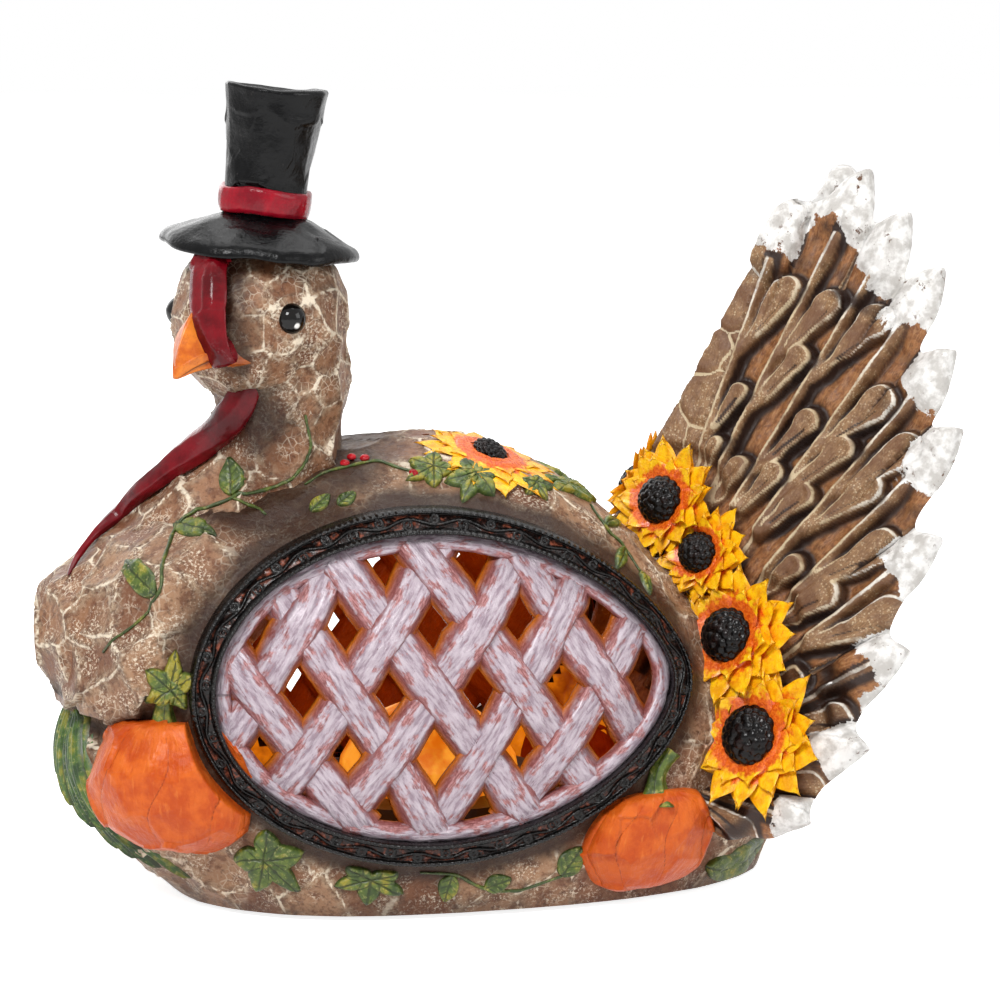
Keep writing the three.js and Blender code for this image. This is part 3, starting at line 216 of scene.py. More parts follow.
class Shape:
    """Points, quads and numbers kept per point, gathered patch by patch."""

    def __init__(self):
        self.points, self.quads, self.numbers, self.count = [], [], [], 0

    def add(self, points, quads, **numbers):
        points = np.asarray(points, float).reshape(-1, 3)
        self.points.append(points)
        self.quads.append(np.asarray(quads, int) + self.count)
        self.numbers.append({k: np.broadcast_to(np.asarray(v, float).ravel(), len(points)) if np.size(v) == 1
                             else np.asarray(v, float).ravel() for k, v in numbers.items()})
        self.count += len(points)
        return self

    def all(self):
        names = sorted({k for n in self.numbers for k in n})
        joined = {k: np.concatenate([n.get(k, np.zeros(len(p))) for n, p in zip(self.numbers, self.points)])
                  for k in names}
        return np.vstack(self.points), np.vstack(self.quads), joined

    def moved(self, move, turned=False):
        """Copy with every patch of points moved, and with its faces turned round if asked."""
        other = Shape()
        other.points = [move(p) for p in self.points]
        other.quads = [q[:, ::-1] if turned else q for q in self.quads]
        other.numbers, other.count = self.numbers, self.count
        return other

    def mirrored(self):
        return self.moved(lambda p: p * [1, -1, 1], turned=True)


def mesh_of(name, points, quads, numbers=None):
    """Mesh in metres in the row frame."""
    mesh = bpy.data.meshes.new(name)
    placed = ((np.asarray(points) + SHIFT) * 0.001).astype(np.float32)
    quads = np.asarray(quads, np.int32)
    mesh.vertices.add(len(placed))
    mesh.vertices.foreach_set("co", placed.ravel())
    mesh.loops.add(quads.size)
    mesh.loops.foreach_set("vertex_index", quads.ravel())
    mesh.polygons.add(len(quads))
    mesh.polygons.foreach_set("loop_start", np.arange(0, quads.size, quads.shape[1], dtype=np.int32))
    mesh.update(calc_edges=True)
    mesh.polygons.foreach_set("use_smooth", np.ones(len(quads), bool))
    for key, values in (numbers or {}).items():
        mesh.attributes.new(key, "FLOAT", "POINT").data.foreach_set("value", np.asarray(values, np.float32))
    mesh.validate()
    return mesh


def piece(name, shape, material, slot, *stands_for):
    """Adds a shape to the figure, in place of any CAD nodes named."""
    points, quads, numbers = shape.all()
    made = bpy.data.objects.new(name, mesh_of(name, points, quads, numbers))
    bpy.context.scene.collection.objects.link(made)
    made.data.materials.append(material)
    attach(made, "figure")
    if stands_for:
        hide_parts(*stands_for)


def pair(name, shape, material, slot):
    """Adds a shape on the near side and its mirror image on the far side, for two CAD nodes."""
    piece(name + "_look_near", shape, material, slot, name + "_near")
    piece(name + "_look_far", shape.mirrored(), material, slot, name + "_far")


def normals(points, quads):
    face = np.cross(points[quads[:, 2]] - points[quads[:, 0]], points[quads[:, 3]] - points[quads[:, 1]])
    total = np.zeros_like(points)
    for k in range(4):
        np.add.at(total, quads[:, k], face)
    return unit(total)


def neighbours(count, quads):
    a = np.concatenate([quads[:, k] for k in range(4)])
    b = np.concatenate([quads[:, (k + 1) % 4] for k in range(4)])
    return np.concatenate([a, b]), np.concatenate([b, a]), count


def smoothed(values, links, rounds, share=0.5):
    a, b, count = links
    degree = np.maximum(np.bincount(a, minlength=count), 1)
    values = np.array(values, float)
    flat = values.ndim == 1
    values = values[:, None] if flat else values
    for _ in range(rounds):
        mean = np.stack([np.bincount(a, weights=values[b, k], minlength=count) / degree
                         for k in range(values.shape[1])], -1)
        values = values + share * (mean - values)
    return values[:, 0] if flat else values


def remeshed(points, quads, size):
    """One even skin over overlapping closed shapes."""
    mesh = bpy.data.meshes.new("scratch")
    mesh.from_pydata(np.asarray(points).tolist(), [], np.asarray(quads).tolist())
    made = bpy.data.objects.new("scratch", mesh)
    bpy.context.scene.collection.objects.link(made)
    tool = made.modifiers.new("even", "REMESH")
    tool.mode = "VOXEL"
    tool.voxel_size = size
    result = made.evaluated_get(bpy.context.evaluated_depsgraph_get()).to_mesh()
    out = np.empty(len(result.vertices) * 3, np.float32)
    result.vertices.foreach_get("co", out)
    corners = np.empty(len(result.loops), np.int32)
    result.loops.foreach_get("vertex_index", corners)
    bpy.data.objects.remove(made)
    bpy.data.meshes.remove(mesh)
    return out.reshape(-1, 3).astype(float), corners.reshape(-1, 4)


def tube(path, wide, thick, hint, around=12, section=None):
    """Points and quads of a closed tube along a path; wide runs along the hint and thick across it."""
    path = np.asarray(path, float)
    tangent = unit(np.gradient(path, axis=0))
    side = unit(hint - tangent * np.sum(tangent * hint, -1, keepdims=True))
    rise = np.cross(tangent, side)
    angle = turns(around)
    wide = np.broadcast_to(wide, len(path))
    thick = np.broadcast_to(thick, len(path))
    shape = np.ones((len(path), around))
    if section is not None:
        shape = section(np.linspace(0, 1, len(path))[:, None], angle)
    ring = (side[:, None] * (wide[:, None] * shape * np.cos(angle))[..., None]
            + rise[:, None] * (thick[:, None] * shape * np.sin(angle))[..., None])
    body = path[:, None] + ring
    first = np.broadcast_to(path[0], (1, around, 3))
    last = np.broadcast_to(path[-1], (1, around, 3))
    points = np.concatenate([first, body, last]).reshape(-1, 3)
    return points, grid(len(path) + 2, around, wrap=True)


def ball(centre, axes, halves, around=24, down=14):
    lat = np.linspace(-np.pi / 2, np.pi / 2, down)[:, None]
    lon = turns(around)[None]
    flat = np.cos(lat)
    local = np.stack([flat * np.cos(lon), flat * np.sin(lon), np.sin(lat) + 0 * lon], -1) * halves
    return (centre + local @ np.asarray(axes)).reshape(-1, 3), grid(down, around, wrap=True)


def scattered(points, spacing, seed):
    """Numbers of points no two of which lie closer than the spacing."""
    order = np.random.default_rng(seed).permutation(len(points))
    kept, cells = [], {}
    for index in order:
        p = points[index]
        cell = tuple((p // spacing).astype(int))
        near = [k for dx in (-1, 0, 1) for dy in (-1, 0, 1) for dz in (-1, 0, 1)
                for k in cells.get((cell[0] + dx, cell[1] + dy, cell[2] + dz), ())]
        if all(np.sum((points[k] - p) ** 2) > spacing * spacing for k in near):
            kept.append(index)
            cells.setdefault(cell, []).append(index)
    return np.array(kept)


def cells(points, seeds, warp, seed):
    """Cell number, distance to the cell's border and to its middle, for each point."""
    bent = points + warp * np.stack([noise(points, 6.0, seed + k) for k in range(3)], -1)
    tree = KDTree(len(seeds))
    for k, s in enumerate(seeds):
        tree.insert(s, k)
    tree.balance()
    owner = np.empty(len(points), int)
    border = np.empty(len(points))
    middle = np.empty(len(points))
    for k, p in enumerate(bent):
        (s1, i1, d1), (s2, _, d2) = tree.find_n(p, 2)
        owner[k] = i1
        middle[k] = d1
        border[k] = (d2 * d2 - d1 * d1) / (2 * max((s2 - s1).length, 1e-6))
    return owner, border, middle


def carved(points, quads, spacing, seed, flatten=0.6, gouge=0.35, keep=None, tilt=0.5):
    """Whittles a skin into facets; returns moved points and the numbers its paint needs."""
    normal = normals(points, quads)
    links = neighbours(len(points), quads)
    even = unit(smoothed(normal, links, 12))
    chosen = scattered(points, spacing, seed)
    seeds, facing = points[chosen], even[chosen]
    owner, border, middle = cells(points, seeds, 0.16 * spacing, seed)
    keep = np.ones(len(points)) if keep is None else keep
    to_plane = np.sum((seeds[owner] - points) * facing[owner], -1)
    lift = np.clip(flatten * to_plane, -1.4, 1.4)
    dish = -gouge * np.clip(1 - (middle / (0.62 * spacing)) ** 2, 0, 1)
    level = tilt * (hashed(owner, owner * 3, owner * 7, seed) - 0.5)
    move = keep * (lift + dish + level * ease(border, 0.0, 1.2) + 0.12 * rough(points, 3.0, seed))
    points = points + even * move[:, None]
    return points, dict(edge=border, tone=hashed(owner, owner * 5, owner * 11, seed + 1))


# Body surface

def body_length(across, height):
    return np.where(across > 0, BODY_REAR - 0.5 * height, BODY_FRONT + 0.16 * height)


def body_point(angle, level, out=0.0):
    """Skin of the body by plan angle and by level from -1 to 1, moved out."""
    square = (np.abs(np.cos(angle)) ** PLAN_POWER + np.abs(np.sin(angle)) ** PLAN_POWER) ** (-1 / PLAN_POWER)
    flat = np.sqrt(np.maximum(0, 1 - level ** 2)) * square
    across, aside = flat * np.cos(angle), flat * np.sin(angle)
    height = level * (np.where(level > 0, BODY_RISE, BODY_DROP) + out)
    x = BODY_X + across * (body_length(across, height) + out)
    return np.stack(np.broadcast_arrays(x, aside * (BODY_SIDE + out), BODY_MID + height), -1)


def body_side(x, z, out=0.0):
    """Distance of the skin from the middle plane at x and z."""
    height = z - BODY_MID
    level = height / (np.where(height > 0, BODY_RISE, BODY_DROP) + out)
    across = np.abs(x - BODY_X) / (body_length(x - BODY_X, height) + out)
    ring = np.maximum(0, 1 - level ** 2) ** (PLAN_POWER / 2)
    return (BODY_SIDE + out) * np.maximum(0, ring - across ** PLAN_POWER) ** (1 / PLAN_POWER)


def egg(t, grow=0.0):
    """Outline of the window in x and z, for shares t round it."""
    front, rear, high = EGG_FRONT + grow, EGG_REAR + grow, EGG_HIGH + grow
    k, tip = 0.5523, EGG_TIP
    zero = 0 * np.asarray(grow, float)
    corners = [
        [(-front, zero), (-front, -k * high), (-k * front, -high), (zero, -high)],
        [(zero, -high), (k * rear, -high), (rear, -tip * high), (rear, zero)],
        [(rear, zero), (rear, tip * high), (k * rear, high), (zero, high)],
        [(zero, high), (-k * front, high), (-front, k * high), (-front, zero)],
    ]
    u = (np.asarray(t, float) % 1) * 4
    part = np.minimum(u.astype(int), 3)
    w = u - part
    x, z = 0, 0
    for index, four in enumerate(corners):
        here = part == index
        weights = [(1 - w) ** 3, 3 * w * (1 - w) ** 2, 3 * w * w * (1 - w), w ** 3]
        x = x + here * sum(a * p[0] for a, p in zip(weights, four))
        z = z + here * sum(a * p[1] for a, p in zip(weights, four))
    return EGG_X + x, EGG_Z + z


def even_egg(count):
    """Shares round the window at even steps of length."""
    t = np.linspace(0, 1, 4001)
    x, z = egg(t)
    run = np.concatenate([[0], np.cumsum(np.hypot(np.diff(x), np.diff(z)))])
    return np.interp(np.arange(count) / count * run[-1], run, t), run[-1]


def egg_distance(x, z):
    """Distance outside the window's outer edge, negative inside it."""
    t, _ = even_egg(360)
    ex, ez = egg(t)
    out = np.empty(len(x))
    for start in range(0, len(x), 20000):
        part = slice(start, start + 20000)
        out[part] = np.min(np.hypot(x[part, None] - ex, z[part, None] - ez), 1)
    around = np.arctan2(ez - EGG_Z, ex - EGG_X)
    reach = np.hypot(ez - EGG_Z, ex - EGG_X)
    order = np.argsort(around)
    here = np.interp(np.arctan2(z - EGG_Z, x - EGG_X), around[order], reach[order], period=2 * np.pi)
    return np.where(np.hypot(z - EGG_Z, x - EGG_X) < here, -out, out)


# Materials

def linear(hexed):
    parts = [int(hexed[k:k + 2], 16) / 255 for k in (0, 2, 4)]
    return tuple(c / 12.92 if c <= 0.04045 else ((c + 0.055) / 1.055) ** 2.4 for c in parts) + (1.0,)


class Paint:
    """A material built node by node."""

    def __init__(self, name, roughness=0.5, **values):
        self.made = bpy.data.materials.new(name)
        self.made.use_nodes = True
        self.tree = self.made.node_tree
        self.shader = self.tree.nodes["Principled BSDF"]
        self.shader.inputs["Roughness"].default_value = roughness
        for key, value in values.items():
            self.shader.inputs[key.replace("_", " ")].default_value = value

    def node(self, kind, **settings):
        made = self.tree.nodes.new(kind)
        for key, value in settings.items():
            setattr(made, key, value)
        return made

    def put(self, socket, value):
        if isinstance(value, bpy.types.NodeSocket):
            self.tree.links.new(value, socket)
        else:
            socket.default_value = value

    def number(self, name):
        return self.node("ShaderNodeAttribute", attribute_name=name).outputs["Fac"]

    def place(self):
        return self.node("ShaderNodeTexCoord").outputs["Object"]

    def vector(self, x, y, z):
        made = self.node("ShaderNodeCombineXYZ")
        for socket, value in zip(made.inputs, (x, y, z)):
            self.put(socket, value)
        return made.outputs[0]

    def math(self, kind, a, b):
        made = self.node("ShaderNodeMath", operation=kind)
        self.put(made.inputs[0], a)
        self.put(made.inputs[1], b)
        return made.outputs[0]

    def times(self, a, b):
        return self.math("MULTIPLY", a, b)

    def plus(self, a, b):
        return self.math("ADD", a, b)

    def less(self, a, b):
        return self.math("SUBTRACT", a, b)

    def noise(self, size, detail=3.0, where=None, roughness=0.6):
        """Noise with features of the given size in millimetres."""
        made = self.node("ShaderNodeTexNoise")
        self.put(made.inputs["Vector"], where or self.place())
        made.inputs["Scale"].default_value = 1000.0 / size if where is None else 1.0 / size
        made.inputs["Detail"].default_value = detail
        made.inputs["Roughness"].default_value = roughness
        return made.outputs["Fac"]

    def cells(self, size, feature):
        """Distance to the borders or the middles of small cells, in cell sizes."""
        made = self.node("ShaderNodeTexVoronoi", feature=feature)
        self.put(made.inputs["Vector"], self.place())
        made.inputs["Scale"].default_value = 1000.0 / size
        return made.outputs["Distance"]

    def step(self, value, low, high, bottom=0.0, top=1.0):
        made = self.node("ShaderNodeMapRange", interpolation_type="SMOOTHSTEP")
        for socket, v in zip(made.inputs, (value, low, high, bottom, top)):
            self.put(socket, v)
        return made.outputs[0]

    def mix(self, share, a, b):
        made = self.node("ShaderNodeMix", data_type="RGBA")
        self.put(made.inputs["Factor"], share)
        self.put(made.inputs[6], linear(a) if isinstance(a, str) else a)
        self.put(made.inputs[7], linear(b) if isinstance(b, str) else b)
        return made.outputs[2]

    def bump(self, height, depth, under=None, strength=1.0):
        """Bump of the given depth in millimetres."""
        made = self.node("ShaderNodeBump")
        made.inputs["Distance"].default_value = depth * 0.001
        made.inputs["Strength"].default_value = strength
        self.put(made.inputs["Height"], height)
        if under is not None:
            self.put(made.inputs["Normal"], under)
        return made.outputs[0]

    def finish(self, colour, normal=None, roughness=None, **links):
        self.put(self.shader.inputs["Base Color"], colour)
        if normal is not None:
            self.put(self.shader.inputs["Normal"], normal)
        if roughness is not None:
            self.put(self.shader.inputs["Roughness"], roughness)
        for key, value in links.items():
            self.put(self.shader.inputs[key.replace("_", " ")], value)
        return self.made


def whittled_paint(name, light="9b775b", mid="724a34", dark="24120a", line="e4d6c0", fine=2.6, crackle=0.35):
    """Carved brown facets, cream rubbed along their borders, a little crackle, and dark brown where the shade
    number is high: painted shade in creases and under overhangs, and airbrushed bands.
    """
    p = Paint(name, 0.45, Coat_Weight=0.04, Coat_Roughness=0.28, Specular_IOR_Level=0.2)
    edge, tone, shade = p.number("edge"), p.number("tone"), p.number("shade")
    patch, grain, speck = p.noise(10.0, 4.0), p.noise(1.5, 4.0), p.noise(0.75, 5.0, roughness=0.75)
    blot = p.noise(3.4, 5.0, roughness=0.7)
    base = p.mix(p.step(p.plus(tone, p.times(patch, 1.2)), 0.6, 1.5), mid, light)
    base = p.mix(p.step(blot, 0.48, 0.60, 0.0, 0.7), base, "623823")
    base = p.mix(p.step(grain, 0.46, 0.30, 0.0, 0.5), base, dark)
    rub = p.times(p.step(edge, 3.4, 0.3), p.step(p.noise(2.2, 5.0, roughness=0.7), 0.44, 0.6, 0.05, 0.45))
    halo = p.times(p.step(edge, 2.8, 0.7), p.step(p.noise(3.2, 4.0), 0.40, 0.58, 0.1, 0.7))
    base = p.mix(halo, base, "402417")
    base = p.mix(rub, base, "c6ac8e")
    flecks = p.times(p.step(speck, 0.51, 0.60), p.step(p.noise(8.0, 3.0), 0.46, 0.62, 0.06, 0.85))
    base = p.mix(flecks, base, line)
    small = p.cells(fine, "DISTANCE_TO_EDGE")
    wander = p.times(p.step(patch, 0.50, 0.62), crackle)
    base = p.mix(p.times(p.step(small, 0.08, 0.02), wander), base, line)
    ragged = p.plus(edge, p.times(p.less(p.noise(1.6, 4.0), 0.5), 1.1))
    ragged = p.plus(ragged, p.times(p.less(p.noise(6.0, 3.0), 0.5), 0.9))
    lines = p.times(p.step(ragged, 0.52, 0.08), p.step(p.noise(5.0, 3.0), 0.30, 0.46, 0.25, 0.95))
    # Painted shade: where the shade number is high the cream lines fade and the brown turns dark.
    base = p.mix(p.times(lines, p.step(shade, 0.75, 0.3)), base, line)
    soft = p.plus(shade, p.times(p.less(blot, 0.5), 0.3))
    base = p.mix(p.times(p.step(soft, 0.1, 0.9), 0.92), base, dark)
    height = p.plus(p.times(grain, 0.6), p.times(speck, 0.5))
    normal = p.bump(height, 0.3)
    normal = p.bump(p.step(small, 0.0, 0.12), 0.08, normal, 0.5)
    return p.finish(base, normal, p.step(grain, 0.3, 0.7, 0.34, 0.56))


# Pieces of the body

def on_head(forward, side, rise):
    return HEAD + forward * FORWARD + side * ASIDE + rise * UP


def eye_centre(side):
    """Middle of an eye and the direction out of it; side is 1 on the near side and -1 on the far side."""
    ahead, beside = HEAD_RADII[0] * math.cos(EYE_ANGLE), HEAD_RADII[1] * math.sin(EYE_ANGLE)
    skin = on_head(ahead, side * beside, EYE_RISE)
    outward = unit(skin - on_head(0, 0, EYE_RISE))
    return skin - outward * EYE_SINK, outward


def belly_swell(x, z):
    """How far the low front stands out, so that it is nearly upright under the breast."""
    away = np.minimum(1, np.abs(z - BELLY_LINE) / BELLY_HALF_HEIGHT)
    return BELLY_SWELL * (1 - away ** 2) * ease((BODY_X - x) / BODY_FRONT, 0.55, 0.95)


def bellied(points):
    """Points of the egg moved out to the belly."""
    x, z = points[:, 0], points[:, 2]
    along = (x - BODY_X) / body_length(x - BODY_X, z - BODY_MID)
    plan = np.stack([along, points[:, 1] / BODY_SIDE, 0 * x], -1)
    return points + plan * belly_swell(x, z)[:, None]


def body_skin():
    """Outer skin: whittled, with the window cut out, a dark band round it and a lip under the breast."""
    cols, rows = 520, 190
    floor_level = -(BODY_MID - FLOOR_CUT) / BODY_DROP
    levels = np.sin(np.linspace(math.asin(floor_level), math.asin(0.9999), rows))
    angle = turns(cols)
    points = body_point(angle[None], levels[:, None]).reshape(-1, 3)
    quads = grid(rows, cols, wrap=True)
    points = bellied(points)
    normal = normals(points, quads)
    x, z = points[:, 0], points[:, 2]
    gap = egg_distance(x, z)
    side = np.abs(points[:, 1]) > 20
    band = np.where(side, gap, 99)
    clear = ease(band, 1.0, 8.0)
    above = z - 51 - 13 * ease(x, -112, -84) - 11 * ease(x, -84, -70) - 1.8 * noise(points, 9.0, 42)
    breast = ease(-x, 60, 80) * ease(z, 112, 84) * clear
    swell = 5.6 * breast * ease(above, 0, 2.6)
    start = points + normal * swell[:, None]
    keep = 0.25 + 0.75 * clear * ease(z, 2.0, 8.0)
    moved, numbers = carved(start, quads, 12.0, 3, 0.8, 0.5, keep * (1 + 0.4 * breast), 0.9)
    sink = 1.1 * (1 - ease(np.abs(band - 4.5), 0, 6.0)) * side
    moved = moved - normal * sink[:, None]
    moved[:cols, 2] = FLOOR_CUT
    # Shade number: painted shade under the breast lip, at the tail root, behind the nape and beside the
    # raised window rim, where an airbrushed dark band also lies; darker towards the bottom and on the hem
    # turned in under the foot.
    low = ease(z, 12, 2) * 0.45
    tail = ease(x - 0.55 * (118 - z), 20, 46)
    lip = breast * np.exp(-(np.clip(above + 2.5, -30, 30) / 4.5) ** 2)
    nape = ease(np.hypot(x + 62, 0.8 * points[:, 1]), 44, 26) * ease(z, 92, 104)
    rimmed = np.where(side, 1 - ease(gap, 0.5, 9.5), 0)
    shade = np.maximum.reduce([0.95 * rimmed, low, 0.85 * tail, 0.95 * lip, 0.8 * nape])
    numbers["shade"] = np.clip(shade + 0.22 * noise(points, 9.0, 40), 0, 1)
    inside = (gap < -3.2) & side
    shown = ~inside[quads].all(1)
    shape = Shape().add(moved, quads[shown], **numbers)
    foot = moved[:cols]
    inward = unit(foot * [-1, -1, 0] + [BODY_X, 0, 0])
    hem = np.stack([foot + inward * d for d in (0, 0.5, 3.0, 5.2)])
    shape.add(hem, grid(4, cols, wrap=True)[:, ::-1], edge=3.0, tone=0.3, shade=0.9)
    return shape, moved, quads


def inner_skin():
    """Inside of the body, seen through the windows."""
    cols, rows = 200, 80
    levels = np.sin(np.linspace(math.asin(-0.56), math.asin(0.9999), rows))
    angle = turns(cols)
    points = body_point(angle[None], levels[:, None], -WALL).reshape(-1, 3)
    quads = grid(rows, cols, wrap=True)
    gap = egg_distance(points[:, 0], points[:, 2])
    inside = (gap < -3.0) & (np.abs(points[:, 1]) > 20)
    points = points - normals(points, quads) * (0.5 + 0.5 * rough(points, 16.0, 5))[:, None]
    return Shape().add(points, quads[~inside[quads].all(1)][:, ::-1])


def neck_and_head():
    """One skin over neck, breast and head."""
    t = np.linspace(0, 1, 90)
    path = curve(NECK_SPINE, t)
    radius = between(NECK_RADII, t)
    spread = 1 + 0.3 * ease(t, 0.4, 0.85)
    sideways = np.array([0, 1.0, 0])
    rough_shape = Shape()
    rough_shape.add(*tube(path, radius * spread, radius, sideways, 48))
    tangent = unit(path[-1] - path[-2])
    rise = np.cross(tangent, sideways)
    rough_shape.add(*ball(path[-1], [tangent, sideways, rise], [23, 23 * 1.3, 23], 48, 28))
    rough_shape.add(*ball(HEAD, [FORWARD, ASIDE, UP], HEAD_RADII, 48, 28))
    points, quads, _ = rough_shape.all()
    points, quads = remeshed(points, quads, 0.85)
    links = neighbours(len(points), quads)
    points = smoothed(points, links, 14)
    normal = unit(smoothed(normals(points, quads), links, 6))
    tip = path[-1] + np.array([-0.78, 0, 0.62]) * 23
    below = ease(tip[2] + 2 - points[:, 2], 0, 10) * ease(-points[:, 0], 100, 112)
    cleft = np.exp(-(points[:, 1] / 3.2) ** 2) * below
    side, front = [(points - HEAD) @ axis for axis in (ASIDE, FORWARD)]
    sockets = sum(np.exp(-np.sum((points - eye_centre(k)[0]) ** 2, -1) / 7.2 ** 2) for k in (1, -1))
    head = ease(points[:, 2], 118, 136)
    points = points - normal * (3.0 * cleft + 1.3 * sockets)[:, None]
    moved, broad = carved(points, quads, 11.0, 11, 0.85, 0.6, 1 - 0.85 * head, 1.0)
    moved, small = carved(moved, quads, 7.0, 12, 0.85, 0.35, 0.9 * head, 0.6)
    numbers = {k: np.where(head > 0.5, small[k], broad[k]) for k in broad}
    # Shade number: painted shade low on the breast where it meets the body, under the hat, in the cleft of
    # the breast, under the chin and at the back of the neck, and darker on the near side of the face beside
    # the beak; the cream ring round each eye clears it.
    lip = ease(61 - points[:, 2], -5, 8)
    hat_shadow = ease(points[:, 2], 165, 174)
    face = np.exp(-((side - 7) / 8.0) ** 2) * ease(front, 14, 21) * head * 0.8
    chin = np.exp(-np.sum((points - on_head(12, 7, -26)) ** 2, -1) / 12.0 ** 2)
    nape = np.exp(-np.sum((points - on_head(-18, 10, -34)) ** 2, -1) / 9.0 ** 2) * 0.5
    shade = np.maximum.reduce([0.95 * lip, 0.7 * hat_shadow, 0.8 * cleft, face, 0.9 * chin, nape])
    to_eyes = [np.linalg.norm(points - eye_centre(k)[0], axis=1) for k in (1, -1)]
    ring = sum(np.exp(-((away - 6.0) / 0.9) ** 2) for away in to_eyes)
    numbers["shade"] = np.clip(shade + 0.22 * noise(points, 8.0, 41) - ring, 0, 1)
    numbers["edge"] = numbers["edge"] * (1 - 0.9 * np.clip(ring, 0, 1))
    return Shape().add(moved, quads, **numbers), moved, quads


body_shape, body_points, body_quads = body_skin()
neck_shape, neck_points, neck_quads = neck_and_head()
skin_paint = whittled_paint("whittled_brown")
head_paint = whittled_paint("whittled_head", light="936a4d", mid="724930", fine=2.0, crackle=0.5)
piece("body_skin_look", body_shape, skin_paint, "resin_brown", "body_shell")
piece("neck_head_look", neck_shape, head_paint, "resin_brown", "neck_head")


# Places on the skin

skin_points = np.vstack([body_points, neck_points])
skin_quads = np.vstack([body_quads, neck_quads + len(body_points)])
skin_tree = BVHTree.FromPolygons(skin_points.tolist(), skin_quads.tolist())
EYE_POINT = np.array([-184.8, -869.5, 242.8])
LOOK_AT = np.array([0, 0, 102.0])
LENS = 120.0
SENSOR = 36.0


def seen(across, down):
    """Skin point met by a line of sight from the near side, by shares of the view from its left and top."""
    ahead = unit(LOOK_AT - EYE_POINT)
    right = unit(np.cross(ahead, UP))
    above = np.cross(right, ahead)
    ray = unit(ahead + (right * (across - 0.5) - above * (down - 0.5)) * SENSOR / LENS)
    hit, normal, _, _ = skin_tree.ray_cast(Vector(EYE_POINT), Vector(ray))
    if hit is None:
        reach = np.linalg.norm(LOOK_AT - EYE_POINT)
        hit, normal, _, _ = skin_tree.find_nearest(Vector(EYE_POINT + ray * reach))
    return np.array(hit), np.array(normal)


def settle(points):
    """Nearest places on the skin and the directions out of it."""
    found = [skin_tree.find_nearest(Vector(p)) for p in points]
    return np.array([f[0] for f in found]), np.array([f[1] for f in found])


def lit_amber_paint():
    p = Paint("amber_inside_glow", 0.2, Coat_Weight=0.5, Coat_Roughness=0.12)
    cloud = p.noise(14.0, 4.0)
    base = p.mix(p.step(cloud, 0.32, 0.68), "7a2c04", "f08a10")
    normal = p.bump(p.noise(7.0, 3.0), 0.8)
    # The inside glows amber: painted light standing in for the LED's light falling on the amber-painted
    # inside.
    p.shader.inputs["Emission Strength"].default_value = 0.75
    return p.finish(base, normal, Emission_Color=base)


piece("body_inside_look", inner_skin(), lit_amber_paint(), "resin_brown", "body_shell")


# Window

def window_rim():
    """Raised frame with beaded edges and a running scroll between them."""
    count = 960
    t, run = even_egg(count)
    reach = np.arange(count) / count * run
    s = np.concatenate([[-0.25, -0.2], np.linspace(0, RIM_WIDTH, 33), [RIM_WIDTH + 0.1, RIM_WIDTH + 0.1]])
    walls = np.concatenate([[-3.0, -0.5], np.full(33, np.nan), [0.5, -5.2]])
    length, inset = np.meshgrid(reach, s, indexing="ij")
    period = run / round(run / 15.0)
    turn = 2 * np.pi * length / period
    wave = np.abs(inset - 3.1 - 0.72 * np.sin(turn))
    half = period / 2
    slot = np.floor(length / half)
    side = np.where(slot % 2 == 0, -1, 1)
    ring = np.hypot(length - (slot + 0.5) * half, inset - 3.1 - 0.62 * side)
    spiral = np.exp(-((ring - 1.05 - 0.12 * np.sin(3 * turn)) / 0.32) ** 2)
    relief = np.maximum.reduce([np.exp(-(wave / 0.42) ** 2), spiral, np.exp(-(ring / 0.42) ** 2)])
    beads = np.sqrt(np.abs(np.sin(np.pi * length / 1.7)))
    outer = np.sqrt(np.clip(1 - ((inset - 0.72) / 0.75) ** 2, 0, 1))
    inner = np.sqrt(np.clip(1 - ((inset - RIM_WIDTH + 0.72) / 0.75) ** 2, 0, 1))
    channel = ease(inset, 1.3, 1.7) * ease(RIM_WIDTH - inset, 1.3, 1.7)
    rise = 1.25 + channel * (0.9 * relief) + (outer + inner) * (0.75 + 0.75 * beads)
    wear = 0.12 * rough(np.stack([length, inset, 0 * inset], -1), 2.2, 81)
    rise = np.where(np.isnan(walls)[None], rise + wear, np.nan_to_num(walls)[None])
    x, z = egg(np.broadcast_to(t[:, None], inset.shape), -inset)
    y = -body_side(x, z, rise)
    hollow = channel * (1 - relief)
    return Shape().add(np.stack([x, y, z], -1), grid_ring(count, len(s)), hollow=hollow)


def grid_ring(rows, cols):
    """Quads of a band whose last row joins its first."""
    r, c = np.meshgrid(np.arange(rows), np.arange(cols - 1), indexing="ij")
    n = (r + 1) % rows
    return np.stack([r * cols + c, n * cols + c, n * cols + c + 1, r * cols + c + 1], -1).reshape(-1, 4)


def slats():
    """The two sets of planks: middle, direction and turn of each."""
    found = []
    for lean in (SLAT_LEAN, -SLAT_LEAN):
        rows = []
        for row in range(-5, 6):
            angle = math.radians(lean + 2.5 * math.sin(2.3 * row + lean))
            middle = np.array([EGG_X + SLAT_PITCH * row, EGG_Z])
            rows.append((middle, np.array([math.sin(angle), math.cos(angle)])))
        found.append(rows)
    return found


def crossing(a, b):
    """How far along plank a it meets plank b."""
    (p, u), (q, v) = a, b
    return np.linalg.solve(np.stack([u, -v], 1), q - p)[0]


